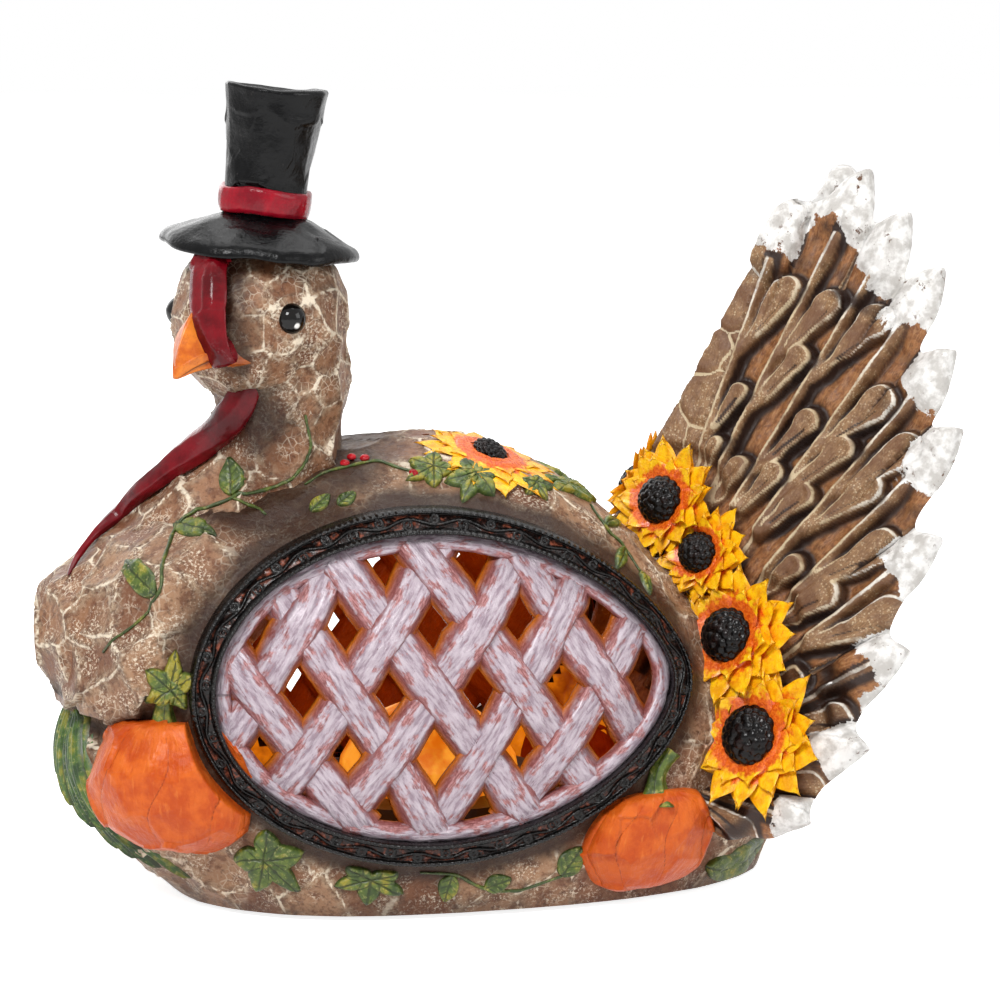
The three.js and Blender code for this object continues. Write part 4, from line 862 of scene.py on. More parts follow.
def trellis():
    """Woven planks with grain, and a bevelled border."""
    shape = Shape()
    sets = slats()
    front = [(a, -1.3 * abs(a) ** 8) for a in np.linspace(-0.98, 0.98, 13)]
    near_edge = [(1.08, -1.9), (1.36, -3.0), (1.42, -4.2), (0.7, -4.6)]
    rear = near_edge + [(0, -4.6)] + [(-a, o) for a, o in near_edge[::-1]]
    corner = np.array(front + rear) * [SLAT_HALF, 1]
    for kind, rows in enumerate(sets):
        for number, (middle, along) in enumerate(rows):
            w = np.arange(-75, 75, 0.8)
            where = middle + w[:, None] * along
            gap = egg_distance(where[:, 0], where[:, 1])
            w = w[gap < -RIM_WIDTH - 0.5]
            if len(w) < 8:
                continue
            meets = sorted((crossing((middle, along), other), 1 if (number + k + kind) % 2 else -1)
                           for k, other in enumerate(sets[1 - kind]))
            at, sign = np.array([m[0] for m in meets]), np.array([m[1] for m in meets])
            span = np.clip(np.searchsorted(at, w) - 1, 0, len(at) - 2)
            share = ease((w - at[span]) / (at[span + 1] - at[span]), 0, 1)
            weave = 0.8 * (sign[span] * (1 - share) + sign[span + 1] * share)
            seed = 90 + 20 * kind + number
            line = np.stack([w, 0 * w, 0 * w], -1)
            wide = 1.02 + 0.10 * rough(line, 9.0, seed)
            drift = 0.45 * noise(line, 13.0, seed + 7)
            a = corner[None, :, 0] * wide[:, None] + drift[:, None]
            o = np.broadcast_to(corner[None, :, 1], a.shape)
            face = ease(o, -1.5, -0.2)
            grain = np.stack([np.broadcast_to(w[:, None] / 7, a.shape), a / 0.7, np.full_like(a, seed)], -1)
            run = np.broadcast_to(w[:, None], a.shape)
            chop = noise(np.stack([run, a * 0.4, np.full_like(a, seed)], -1), 4.5, seed)
            lift = face * (0.3 * noise(grain, 1.0, seed) + 0.4 * chop)
            out = -1.75 + o + weave[:, None] + lift
            x = middle[0] + w[:, None] * along[0] + a * along[1]
            z = middle[1] + w[:, None] * along[1] - a * along[0]
            y = -body_side(x, z, out)
            edge = np.clip(SLAT_HALF - np.abs(a - drift[:, None]), 0, SLAT_HALF)
            shape.add(np.stack([x, y, z], -1), grid(len(w), len(corner), wrap=True), along=run,
                      across=a + 17.0 * seed, edge=edge, behind=ease(-o, 1.6, 3.2))
    count = 420
    t, run = even_egg(count)
    ring = np.array([[6.0, -5.6], [6.0, -2.0], [6.3, -1.2], [7.2, -1.0], [8.6, -1.3],
                     [9.8, -1.9], [10.5, -2.8], [10.7, -4.2], [10.5, -5.6]])
    reach = (np.arange(count) / count * run)[:, None]
    plain = ring[None, :, 0]
    inset = plain + 0.22 * noise(np.stack(np.broadcast_arrays(reach, plain, 0.0), -1), 5.0, 95)
    out = ring[None, :, 1] + 0.2 * noise(np.stack(np.broadcast_arrays(reach, plain * 3, 0.0), -1), 4.0, 96)
    x, z = egg(np.broadcast_to(t[:, None], inset.shape), -inset)
    y = -body_side(x, z, out)
    along, edge, behind = [np.broadcast_to(values, inset.shape) for values in (
        reach, np.clip(10.2 - plain, 0, 3), ease(-ring[None, :, 1], 4.2, 5.4))]
    shape.add(np.stack([x, y, z], -1), grid_ring(count, len(ring)), along=along, across=inset, edge=edge,
              behind=behind)
    return shape


def rim_paint():
    """Gloss black with copper showing in the hollows."""
    p = Paint("rim_black", 0.26, Coat_Weight=0.1, Coat_Roughness=0.14, Specular_IOR_Level=0.2)
    hollow = p.number("hollow")
    grain, patch = p.noise(1.2, 4.0), p.noise(4.0, 3.0)
    copper = p.mix(p.step(grain, 0.4, 0.65), "2a130d", "8a4a36")
    worn = p.times(p.step(hollow, 0.5, 0.95), p.step(patch, 0.46, 0.6, 0.05, 0.9))
    base = p.mix(worn, p.mix(p.step(grain, 0.45, 0.7), "060505", "100c0b"), copper)
    rub = p.times(p.step(p.noise(2.6, 4.0), 0.62, 0.7), 0.2)
    base = p.mix(rub, base, "5a392c")
    return p.finish(base, p.bump(grain, 0.2), p.step(grain, 0.35, 0.7, 0.14, 0.34))


def mauve_paint():
    """Pearly lavender rubbed over dusty rose, with fine cracks along the grain."""
    p = Paint("trellis_mauve", 0.32, Metallic=0.1, Coat_Weight=0.15, Coat_Roughness=0.18,
              Specular_IOR_Level=0.3)
    along, across = p.number("along"), p.number("across")
    streak = p.vector(p.times(along, 0.22), across, 0.0)
    grain, fine = p.noise(1.1, 4.0, streak), p.noise(0.4, 3.0, streak)
    patch = p.noise(5.0, 4.0)
    edge = p.number("edge")
    silver = p.mix(p.step(grain, 0.36, 0.64), "8d7b86", "bdb0b8")
    worn = p.plus(patch, p.times(grain, 0.7))
    rose = p.mix(p.step(fine, 0.4, 0.65), "84504f", "b07c7c")
    share = p.step(p.plus(worn, p.times(edge, 0.06)), 0.99, 0.82)
    base = p.mix(share, silver, rose)
    crack = p.times(p.step(fine, 0.34, 0.28), 0.75)
    base = p.mix(crack, base, "4a2426")
    base = p.mix(p.times(p.step(edge, 0.6, 0.1), 0.6), base, "7a3f3e")
    base = p.mix(p.number("behind"), base, p.mix(patch, "7a3008", "d97d14"))
    normal = p.bump(grain, 0.5)
    normal = p.bump(p.noise(0.8, 4.0), 0.25, normal)
    return p.finish(base, normal, p.step(grain, 0.35, 0.65, 0.40, 0.22))


pair("window_rim", window_rim(), rim_paint(), "rim_black")
pair("window_trellis", trellis(), mauve_paint(), "trellis_mauve")


# Head pieces and hat

def gloss_paint(name, deep, bright, roughness=0.2, patchy=6.0):
    """Glossy brushed paint, a little lighter along the cut edges."""
    p = Paint(name, roughness, Coat_Weight=0.08, Coat_Roughness=0.08, Specular_IOR_Level=0.16)
    edge, patch, grain = p.number("edge"), p.noise(patchy, 4.0), p.noise(1.3, 4.0)
    base = p.mix(p.step(p.plus(patch, p.times(p.number("tone"), 0.25)), 0.45, 0.85), deep, bright)
    base = p.mix(p.times(p.step(edge, 0.6, 0.1), 0.25), base, bright)
    normal = p.bump(grain, 0.15)
    normal = p.bump(patch, 0.3, normal)
    return p.finish(base, normal, p.step(grain, 0.35, 0.7, roughness * 0.7, roughness * 1.5))


def prism(corners, soft):
    """Section of a prism with the given corners in degrees, partly rounded, for a tube."""
    corners = np.radians(np.asarray(corners, float))
    ends = np.append(corners, corners[0] + 2 * np.pi)

    def section(t, angle):
        turn = (angle - corners[0]) % (2 * np.pi) + corners[0]
        k = np.clip(np.searchsorted(ends, turn, side="right") - 1, 0, len(corners) - 1)
        half = (ends[k + 1] - ends[k]) / 2
        return 1 + soft * (np.cos(half) / np.cos(turn - ends[k] - half) - 1) + 0 * t

    return section


def whittled_tube(path, wide, thick, hint, spacing, seed, corners, soft=0.75, around=60):
    """Tube cut to a rounded prism with the given corners, then lightly whittled where it is thick."""
    points, quads = tube(path, wide, thick, hint, around, prism(corners, soft))
    full = np.repeat(np.concatenate([[0], ease(thick, 0.8, 2.4), [0]]), around)
    points, numbers = carved(points, quads, spacing, seed, 0.2 * full, 0.1 * full, full, 0.15)
    return Shape().add(points, quads, **numbers)


def rounded_ends(t, start=0.1, end=0.12):
    first = np.clip(1 - np.clip(1 - t / start, 0, 1) ** 2, 0.02, 1)
    last = np.clip(1 - np.clip(1 - (1 - t) / end, 0, 1) ** 2, 0.02, 1)
    return np.sqrt(first * last)


def beak_shape():
    """Three-sided beak: a ridge on top, two flat cheeks and a flat below with the mouth cut above it."""
    around = 96
    t = np.linspace(0, 1, 70)
    ridge = ((16, -3.0), (25, -4.2), (31.2, -7.6), (36.8, -12.2))
    path = curve([on_head(ahead, 0, rise) for ahead, rise in ridge], t)
    thick = between([10.8, 10.4, 9.4, 7.6, 5.6, 3.2, 0.9], t)
    wide = between([14.5, 13.4, 11.4, 8.6, 5.9, 3.3, 1.0], t)
    lips = np.radians([207.0, 333.0])
    flat = prism((90, 218, 322), 0.82)

    def section(t, angle):
        cut = np.exp(-((angle - lips[:, None, None]) / 0.05) ** 2).sum(0)
        return flat(t, angle) - 0.08 * cut * ease(t, 0.25, 0.4)

    points, quads = tube(path, wide, thick, ASIDE, around, section)
    points, numbers = carved(points, quads, 8.0, 131, 0.2, 0.12, tilt=0.2)
    angle = np.tile(turns(around), len(t) + 2)
    numbers["mouth"] = np.exp(-((angle - lips[:, None]) / 0.06) ** 2).sum(0)
    numbers["root"] = np.repeat(np.concatenate([[0], t, [1]]), around)
    return Shape().add(points, quads, **numbers)


def beak_paint():
    """Orange, darker in places with the grain, and brown at the root and the mouth."""
    p = Paint("beak_orange", 0.3, Coat_Weight=0.12, Coat_Roughness=0.18, Specular_IOR_Level=0.3)
    patch, grain = p.noise(5.0, 4.0), p.noise(1.2, 4.0)
    base = p.mix(p.step(patch, 0.35, 0.65), "b9540f", "dd7c22")
    base = p.mix(p.times(p.step(grain, 0.45, 0.3), 0.4), base, "a8470f")
    base = p.mix(p.times(p.step(p.number("root"), 0.5, 0.2), 0.7), base, "8a4216")
    base = p.mix(p.times(p.number("mouth"), 0.85), base, "4a1c06")
    return p.finish(base, p.bump(grain, 0.2))


def snood_shape():
    """Flap that hangs from the brow down one side of the beak."""
    t = np.linspace(0, 1, 80)
    hang = ((16.5, -2.2, 20.0), (23.0, 1.0, 14.0), (26.2, 3.0, 8.0),
            (27.6, 4.6, 1.0), (27.4, 6.2, -4.5), (26.0, 8.2, -9.4))
    path = curve([on_head(*place) for place in hang], t)
    ends = rounded_ends(t, 0.04, 0.06)
    wide = between([3.4, 5.4, 6.0, 5.2, 4.2, 3.6], t) * ends
    return whittled_tube(path, wide, 2.9 * ends, ASIDE, 9.0, 133, (5, 60, 125, 175, 270))


def wattle_shape():
    """Long red fold that runs from under the chin down the front of the neck to the breast."""
    places = ((0.252, 0.374), (0.245, 0.394), (0.236, 0.420), (0.206, 0.452), (0.173, 0.476),
              (0.146, 0.497), (0.121, 0.517), (0.098, 0.538), (0.082, 0.558), (0.070, 0.578))
    found = [seen(*place) for place in places]
    t = np.linspace(0, 1, 150)
    outward = unit(curve([f[1] for f in found], t))
    slim = between([0.75, 1.0, 1.12, 1.1, 0.95, 0.78, 0.58, 0.40, 0.28, 0.14], t)
    slim = slim * rounded_ends(t, 0.05, 0.03)
    rise = -8.0 + 9.0 * ease(t, 0.0, 0.2) + 1.5 * slim
    path = curve([f[0] for f in found], t) + outward * rise[:, None]
    for _ in range(120):
        path[1:-1] = (path[:-2] + 2 * path[1:-1] + path[2:]) / 4
        outward[1:-1] = (outward[:-2] + 2 * outward[1:-1] + outward[2:]) / 4
    side = unit(np.cross(outward, np.gradient(path, axis=0)))
    points, quads = tube(path, 4.3 * slim, 3.6 * slim, side, 60, prism((20, 90, 160, 215, 325), 0.5))
    points = points + normals(points, quads) * (0.25 * rough(points, 8.0, 135))[:, None]
    return Shape().add(points, quads, edge=2.0, tone=0.5)


red_paint = gloss_paint("gloss_red", "4a030a", "7a0c18", 0.18, 9.0)
piece("beak_look", beak_shape(), beak_paint(), "beak_orange", "beak")
piece("snood_look", snood_shape(), red_paint, "gloss_red", "snood")
piece("wattle_look", wattle_shape(), red_paint, "gloss_red", "wattle")


def eye_shape(side):
    """Bead with a painted glint."""
    centre, outward = eye_centre(side)
    level = unit(np.cross(UP, outward))
    rise = np.cross(outward, level)
    points, quads = ball(centre, [level, rise, outward], [EYE_RADIUS] * 3, 64, 44)
    spot = centre + unit(outward + 0.12 * level - 0.42 * rise) * EYE_RADIUS
    glint = ease(np.linalg.norm(points - spot, axis=1), 0.95, 0.55)
    return Shape().add(points + 0.05 * noise(points, 3.0, 5)[:, None] * outward, quads, glint=glint)


def eye_paint():
    p = Paint("eye_black", 0.05, Coat_Weight=0.1, Coat_Roughness=0.03, Specular_IOR_Level=0.2)
    black = p.mix(p.noise(2.5, 3.0), "050505", "120d0b")
    return p.finish(p.mix(p.number("glint"), black, "f4f2ee"), p.bump(p.noise(1.5), 0.05))


black_eye = eye_paint()
piece("eye_look_near", eye_shape(1), black_eye, "eye_black", "eye_near")
piece("eye_look_far", eye_shape(-1), black_eye, "eye_black", "eye_far")


def on_hat(local):
    c, s = math.cos(HAT_TILT), math.sin(HAT_TILT)
    x, y, z = np.moveaxis(local, -1, 0)
    return HAT_BASE + np.stack([c * x + s * z, y, -s * x + c * z], -1)


def crown_radius(z, angle, out=0.0):
    """Carved side of the crown: flat cuts between upright corners."""
    corners = (np.arange(9) + 0.28 * np.sin(np.arange(9) * 2.4)) * 2 * np.pi / 9
    corners = np.concatenate([corners, [corners[0] + 2 * np.pi]])
    turn = (angle - corners[0]) % (2 * np.pi) + corners[0]
    k = np.clip(np.searchsorted(corners, turn, side="right") - 1, 0, 8)
    low, high = corners[k], corners[k + 1]
    chord = np.cos((high - low) / 2) / np.cos(turn - (low + high) / 2)
    t = np.clip(z / HAT_HIGH, 0, 1)
    plain = CROWN_LOW + (CROWN_HIGH - CROWN_LOW) * t * t + out
    return plain * (0.72 + 0.28 * chord) * 1.01


def hat_shape():
    """Drooping brim, flat-cut crown and a sunken top with a soft lip."""
    around = 260
    angle = turns(around)
    uneven = 0.03 * np.cos(2 * angle) + 0.014 * np.sin(5 * angle + 1) + 0.008 * np.sin(11 * angle)
    brim = 0.97 * BRIM_RADIUS * (1 + uneven)
    half = BRIM_THICK / 2
    rows = []
    for share in np.linspace(0.35, 0.97, 12):
        rows.append((share * (brim - half), 0 * angle))
    for bend in np.radians(np.linspace(-80, 80, 11)):
        rows.append((brim - half + half * math.cos(bend), 0 * angle + half + half * math.sin(bend)))
    root = crown_radius(BRIM_THICK + 0 * angle, angle)
    for share in np.linspace(0, 1, 22)[1:]:
        inward = brim - half + (root + 0.3 - brim + half) * share
        rows.append((inward, BRIM_THICK + 1.2 * share ** 5 + 0 * angle))
    top = HAT_HIGH - 0.4 + 0.5 * np.cos(2 * angle + 0.2)
    for share in np.linspace(0, 1, 60):
        z = BRIM_THICK + 1.6 + (top - BRIM_THICK - 1.6) * share
        rows.append((crown_radius(z, angle), z))
    lip = crown_radius(top, angle)
    for inset, drop in ((0.35, -0.45), (1.1, -0.55), (2.0, 0.2), (2.8, 1.4)):
        rows.append((lip - inset, top - drop))
    for share in np.linspace(0.72, 0, 10):
        rows.append((lip * share, top - 1.8 - 0.5 * (1 - share)))
    radius = np.array([r for r, _ in rows])
    z = np.array([h for _, h in rows])
    wing = np.clip((radius - CROWN_LOW - 2) / (BRIM_RADIUS - CROWN_LOW - 2), 0, 1.1)
    bend = 1.4 * wing ** 2 * np.cos(2 * angle + 0.5) - BRIM_DROOP * wing ** 1.4
    bent = z + np.where(z < HAT_HIGH / 4, bend, 0)
    local = np.stack([radius * np.cos(angle), radius * np.sin(angle), bent], -1)
    points = on_hat(local).reshape(-1, 3)
    quads = grid(len(rows), around, wrap=True)
    upright = 0.6 * ease(np.abs(z - 16).ravel(), 18, 10)
    points, numbers = carved(points, quads, 11.0, 140, 0.2, 0.1, upright, 0.15)
    dents = 0.5 * noise(points, 9.0, 141) + 0.25 * noise(points, 4.5, 142)
    points = points + normals(points, quads) * dents[:, None]
    numbers["under"] = ((z < 1.0) & (radius < brim - 2.5)).ravel()
    return Shape().add(points, quads, **numbers)


def band_shape():
    around = 200
    angle = turns(around)
    rows = []
    profile = ((5.0, -0.6), (4.9, 0.5), (5.2, 1.1), (6.2, 1.35), (7.6, 1.45),
               (8.8, 1.45), (10.0, 1.4), (11.0, 1.3), (11.6, 0.8), (11.6, -0.6))
    for h, out in profile:
        h = h + 0.3 * np.sin(3 * angle + 1) * (0.5 + h / 20)
        side = crown_radius(h, angle, out)
        rows.append(np.stack([side * np.cos(angle), side * np.sin(angle), h], -1))
    points = on_hat(np.array(rows)).reshape(-1, 3)
    quads = grid(len(rows), around, wrap=True)
    points = points + normals(points, quads) * (0.25 * rough(points, 5.0, 143))[:, None]
    return Shape().add(points, quads, edge=1.5, tone=0.5)


def hat_paint():
    """Deep black with soft gloss and a few rubbed spots."""
    p = Paint("hat_black", 0.24, Coat_Weight=0.04, Coat_Roughness=0.12, Specular_IOR_Level=0.14)
    patch, grain, speck = p.noise(7.0, 4.0), p.noise(1.4, 4.0), p.noise(0.6, 5.0)
    base = p.mix(p.step(grain, 0.4, 0.65), "040405", "0a0a0b")
    base = p.mix(p.times(p.number("under"), 0.5), base, "151210")
    scuff = p.times(p.step(speck, 0.56, 0.63), p.step(patch, 0.56, 0.68))
    base = p.mix(p.times(scuff, 0.3), base, "4a4644")
    normal = p.bump(grain, 0.2)
    return p.finish(base, normal, p.step(patch, 0.4, 0.65, 0.15, 0.3))


piece("hat_look", hat_shape(), hat_paint(), "hat_black", "hat")
band_paint = gloss_paint("band_red", "78081a", "b01226", 0.16, 8.0)
piece("hat_band_look", band_shape(), band_paint, "gloss_red", "hat_band")


# Places of the sunflowers

FLOWER_HEIGHTS = (101.0, 88.5, 68.5, 44.5)
FLOWER_RADII = (15.0, 12.5, 17.0, 18.5)
FLOWER_OUTWARD = (15.0, 16.5, 8.0, 12.0)
FLOWER_FACING = np.array([-0.738, -0.576, 0.353])
FLOWER_STAND_OUT = 3.2
SEED_SHARE = 0.4
BACK_FLOWER_X, BACK_FLOWER_Y, BACK_FLOWER_RADIUS = -6.0, -16.0, 17.6


def body_normal(x, z):
    slope_x = body_side(x + 0.5, z) - body_side(x - 0.5, z)
    slope_z = body_side(x, z + 0.5) - body_side(x, z - 0.5)
    return unit(np.array([-slope_x, -1.0, -slope_z], float))


def flower_frame(index):
    """Place of a sunflower, with its level, upward and facing directions."""
    start = RIDGE_FOOT + RIDGE_UP * (FLOWER_HEIGHTS[index] - RIDGE_FOOT[2]) / RIDGE_UP[2]
    inside, outside = 0.0, 200.0
    for _ in range(30):
        middle = (inside + outside) / 2
        here = start + FAN_ACROSS * middle
        if -here[1] < body_side(here[0], here[2]):
            inside = middle
        else:
            outside = middle
    place = start + FAN_ACROSS * inside
    facing = unit(FLOWER_FACING)
    level = unit(np.cross(UP, facing))
    place = place + FAN_ACROSS * FLOWER_OUTWARD[index] + facing * FLOWER_STAND_OUT
    return place, level, np.cross(facing, level), facing


# Tail

FEATHERS = 9
FAN_SPAN = 55.0
WEB_REACH = 0.85
CAP_REACH = 0.95


def fan_point(p, q, h):
    return RIDGE_FOOT + p[..., None] * FAN_ACROSS + q[..., None] * FAN_UP + h[..., None] * FAN_FRONT


def feather_line(index):
    """Root and tip of a feather in the plane of the tail; number -1 is the one along the ridge."""
    share = max(index, 0) / (FEATHERS - 1)
    root = np.array([0, -62.0]) * (1 - share) + np.array([28, -96.0]) * share
    if index < 0:
        return root, 72.0 * np.array([RIDGE_UP @ FAN_ACROSS, RIDGE_UP @ FAN_UP])
    angle = math.radians(70 - 126 * share)
    climb = 86 if angle > 0 else 116
    return root, np.array([30 + FAN_SPAN * math.cos(angle), -5 + climb * math.sin(angle)])


def feather_frame(index, p, q):
    """Length of a feather, and distances along its shaft and to its lower side."""
    root, tip = feather_line(index)
    length = np.linalg.norm(tip - root)
    along = (tip - root) / length
    dp, dq = p - root[0], q - root[1]
    return length, dp * along[0] + dq * along[1], dp * along[1] - dq * along[0]


def feather_body(index, p, q):
    """Distance outside the outline of a whole feather, whose end is cut slanting."""
    length, s, d = feather_frame(index, p, q)
    wide = 7.4 + 0.7 * math.sin(2.4 * index) if index >= 0 else 6.5
    length = length + 1.2 * math.sin(3.7 * index)
    s = s + 0.38 * d * ease(s, 0.7 * length, 0.9 * length)
    end = length - 2.0 * wide
    half = between([4.5, 7, 9, 10, 10.4, 9.4, wide], np.clip(s / end, 0, 1))
    narrow = np.clip((s - end) / (length - end), 0, 1.4) ** 2.2
    return np.maximum((np.abs(d) - half * (1 - narrow)) * 0.85, -s - half)


def smooth_min(a, b, soft):
    share = np.clip(1 - np.abs(a - b) / soft, 0, 1)
    return np.minimum(a, b) - 0.25 * soft * share ** 2


def polygon_gap(corners, p, q):
    """Distance outside a polygon, negative inside it."""
    near, inside = np.full(np.shape(p), 1e9), np.zeros(np.shape(p), bool)
    for (ap, aq), (bp, bq) in zip(corners, np.roll(corners, -1, 0)):
        ep, eq = bp - ap, bq - aq
        t = np.clip(((p - ap) * ep + (q - aq) * eq) / (ep * ep + eq * eq), 0, 1)
        near = np.minimum(near, np.hypot(p - ap - t * ep, q - aq - t * eq))
        crossed = (aq > q) != (bq > q)
        inside ^= crossed & (p < ap + (q - aq) * ep / (eq if eq else 1.0))
    return np.where(inside, -near, near)


def tail_outline(p, q):
    """Distance outside the outline of the feathers and the web that joins them."""
    lines = [feather_line(k) for k in range(FEATHERS)]
    tips = [a + (b - a) * (CAP_REACH if k == 0 else WEB_REACH) for k, (a, b) in enumerate(lines)]
    ridge_tip = feather_line(-1)[1]
    corners = [a for a, _ in lines[::-1]] + [-0.5 * ridge_tip, CAP_REACH * ridge_tip] + tips
    gap = polygon_gap(np.array(corners), p, q) - 1.0
    for index in range(-1, FEATHERS):
        gap = smooth_min(gap, feather_body(index, p, q), 3.0)
    return gap


def feather_lobes(index, p, q, seed):
    """Distances outside a feather's raised parts, outside its lobes and to their cuts, and a lobe's run."""
    length, s, d = feather_frame(index, p, q)
    wave, fine = [noise(np.stack([p, q, 0 * p], -1), size, seed) for size in (7.0, 3.0)]
    lower = d - 1.2 - 1.2 * np.clip(s / length, 0, 1)
    out = np.maximum.reduce([-1.0 - d, lower, s - 0.87 * length, -s]) + 0.3 * wave
    knob, cut = np.full_like(p, 9.0), np.full_like(p, 9.0)
    along = np.zeros_like(p)
    count = max(1, int(round(length / 45)))
    root, tip = feather_line(index)
    for number in range(count):
        reach = 0.4 + 0.48 * (number + 0.7 * ((7 * index + 3 * number + 20) % 5) / 5) / count
        room = 5.5 + 15.5 * reach
        if index + 1 < FEATHERS:
            spot = root + (tip - root) * (reach - 0.02)
            room = min(room, (-feather_frame(index + 1, spot[0], spot[1])[2] - 0.6) / 0.9)
        s1 = reach * length
        s0 = s1 - 1.15 * room - 4
        run = np.clip((s - s0) / (s1 - s0), 0, 1)
        centre = room * (0.08 + 0.48 * run ** 0.9)
        half = room * (0.10 + 0.24 * run ** 1.3)
        lobe = np.hypot(s - np.clip(s, s0, s1), d - centre) - half + 0.8 * wave + 0.3 * fine
        along = np.where(lobe < knob, run, along)
        knob = np.minimum(knob, lobe)
        line = np.abs(d - centre - 0.18 * half + 0.2 * half * np.sin(3.4 * run + number))
        cut = np.minimum(cut, np.where((run > 0.35) & (run < 0.9) & (s < s1), line, 9.0))
    if index + 1 < FEATHERS:
        _, ahead, below = feather_frame(index + 1, p, q)
        knob = np.where(ahead > 6, np.maximum(knob, below + 1.2), knob)
    return np.minimum(out, knob), knob, cut, along * (knob < 0.5)


def tail_half():
    """Near half of the tail: oak-leaf feathers in layers in front, barbs behind, white thumbs at the rim."""
    step = 0.56
    ps, qs = np.arange(-32, 92, step), np.arange(-122, 90, step)
    p, q = [a.ravel() for a in np.meshgrid(ps, qs, indexing="ij")]
    quads = grid(len(ps), len(qs))
    indices = range(-1, FEATHERS)

    def past_ridge(p, q):
        return (0.42 * q - p) * 0.92

    inside = (tail_outline(p, q) < 0) & (past_ridge(p, q) < 0)
    used = quads[inside[quads].any(1)]
    kept = np.unique(used)
    number = np.full(len(p), -1)
    number[kept] = np.arange(len(kept))
    quads, p, q = number[used], p[kept], q[kept]
    for _ in range(4):
        f = tail_outline(p, q)
        e = 0.05
        gp, gq = (tail_outline(p + e, q) - f) / e, (tail_outline(p, q + e) - f) / e
        move = np.where(f > 0, f / np.maximum(gp * gp + gq * gq, 0.2), 0)
        p, q = p - move * gp, q - move * gq
        p = p + np.maximum(past_ridge(p, q), 0) / 0.92
    depth = -np.minimum(tail_outline(p, q), 0)
    on_ridge = past_ridge(p, q) > -0.05
    flat = np.stack([p, q, 0 * p], -1)

    bodies = np.array([feather_body(k, p, q) for k in indices])
    frames = [feather_frame(k, p, q) for k in indices]
    owner = np.argmin(bodies, 0)
    nearest = np.sort(bodies, 0)
    seam = nearest[1] - nearest[0]
    ahead = np.choose(owner, [f[1] for f in frames])
    aside = np.choose(owner, [f[2] for f in frames])
    rest = np.choose(owner, [f[0] - f[1] for f in frames])

    height = -2.4 + 0.3 * rough(flat, 5.0, 60) + 0.25 * np.sin(aside * 2.0 + 0.8 * noise(flat, 8.0, 61))
    line, scratch, groove = np.zeros_like(p), np.zeros_like(p), np.zeros_like(p)
    recess = np.ones_like(p)
    along, across = ahead.copy(), aside.copy()
    for index in reversed(indices):
        lobe, knob, cut, run = feather_lobes(index, p, q, 70 + index)
        _, s, d = feather_frame(index, p, q)
        over = ease(lobe, 0.75, -0.75)
        below = np.where((d > -1.5) & (s > 0), np.exp(-(np.maximum(lobe, 0) / 2.4) ** 2), 0)
        border = np.exp(-((knob + 0.8) / 0.5) ** 2) * ease(run, 0.1, 0.3)
        shaft = np.exp(-(d / 0.75) ** 2) * ease(s, 2, 14)
        pillow = np.sqrt(np.clip(1 - (1 - np.clip(0.3 - lobe / 1.8, 0, 1)) ** 2, 0, 1))
        raised = -1.5 + 2.8 * pillow + 1.4 * run - 1.0 * ease(-lobe, 0.9, 3.2) + 1.3 * shaft
        height = height + (raised - height) * over
        line = line + (np.maximum(border, shaft) - line) * over
        groove = np.maximum(groove, below) * (1 - over) + np.exp(-(lobe / 0.5) ** 2) * over
        scratch = scratch + (np.exp(-(cut / 0.5) ** 2) - scratch) * over
        recess = recess * (1 - over)
        along, across = np.where(lobe < 0, s, along), np.where(lobe < 0, d, across)
    links = neighbours(len(p), quads)
    height = smoothed(height - 1.2 * groove - 0.9 * scratch, links, 3)
    line, groove = smoothed(line, links, 1), smoothed(groove, links, 1)

    strip = feather_frame(-1, p, q)[2] < -1.2
    crack = cells(flat, flat[scattered(flat, 12.0, 21)], 1.8, 22)[1]
    line = np.where(strip, 0.9 * ease(crack, 0.7, 0.1), line)
    recess = np.where(strip, 0.15, recess)
    groove = np.where(strip, 0, groove)
    height = np.where(strip, -0.4 + 0.7 * ease(crack, 0, 2.0), height)
    board = fan_point(p, q, 0 * p)
    for flower in range(4):
        place, _, _, facing = flower_frame(flower)
        off = board - place
        beside = np.linalg.norm(off - (off @ facing)[:, None] * facing, axis=1)
        pocket = ease(beside, 1.2 * FLOWER_RADII[flower], 0.95 * FLOWER_RADII[flower])
        height = height + (np.minimum(height, -2.6) - height) * pocket

    tipped = ease(rest, 24, 15)
    slope = 0.35 * aside * np.where(owner % 2 == 0, 1, -0.6)
    thumb = 2.2 - 0.06 * np.abs(aside) ** 1.8 - 0.3 * np.abs(slope) + 0.7 * rough(flat, 6.0, 62)
    thumb = thumb - 0.7 * np.exp(-(aside / 0.6) ** 2) * ease(rest, 6, 14)
    height = height * (1 - tipped) + thumb * tipped
    parting = np.exp(-(seam / 1.6) ** 2) * ease(rest, 38, 22)
    height = height - 2.2 * parting
    white_long = between([14, 20, 19, 18, 18, 17, 16, 14, 11, 10], owner / 9.0)
    white_long = white_long + 5.5 * noise(flat, 10.0, 66) + 2.0 * noise(flat, 3.5, 67)
    white = ease(rest, white_long + 2.5, white_long - 2.5)
    frost = ease(rest, 44, 24)

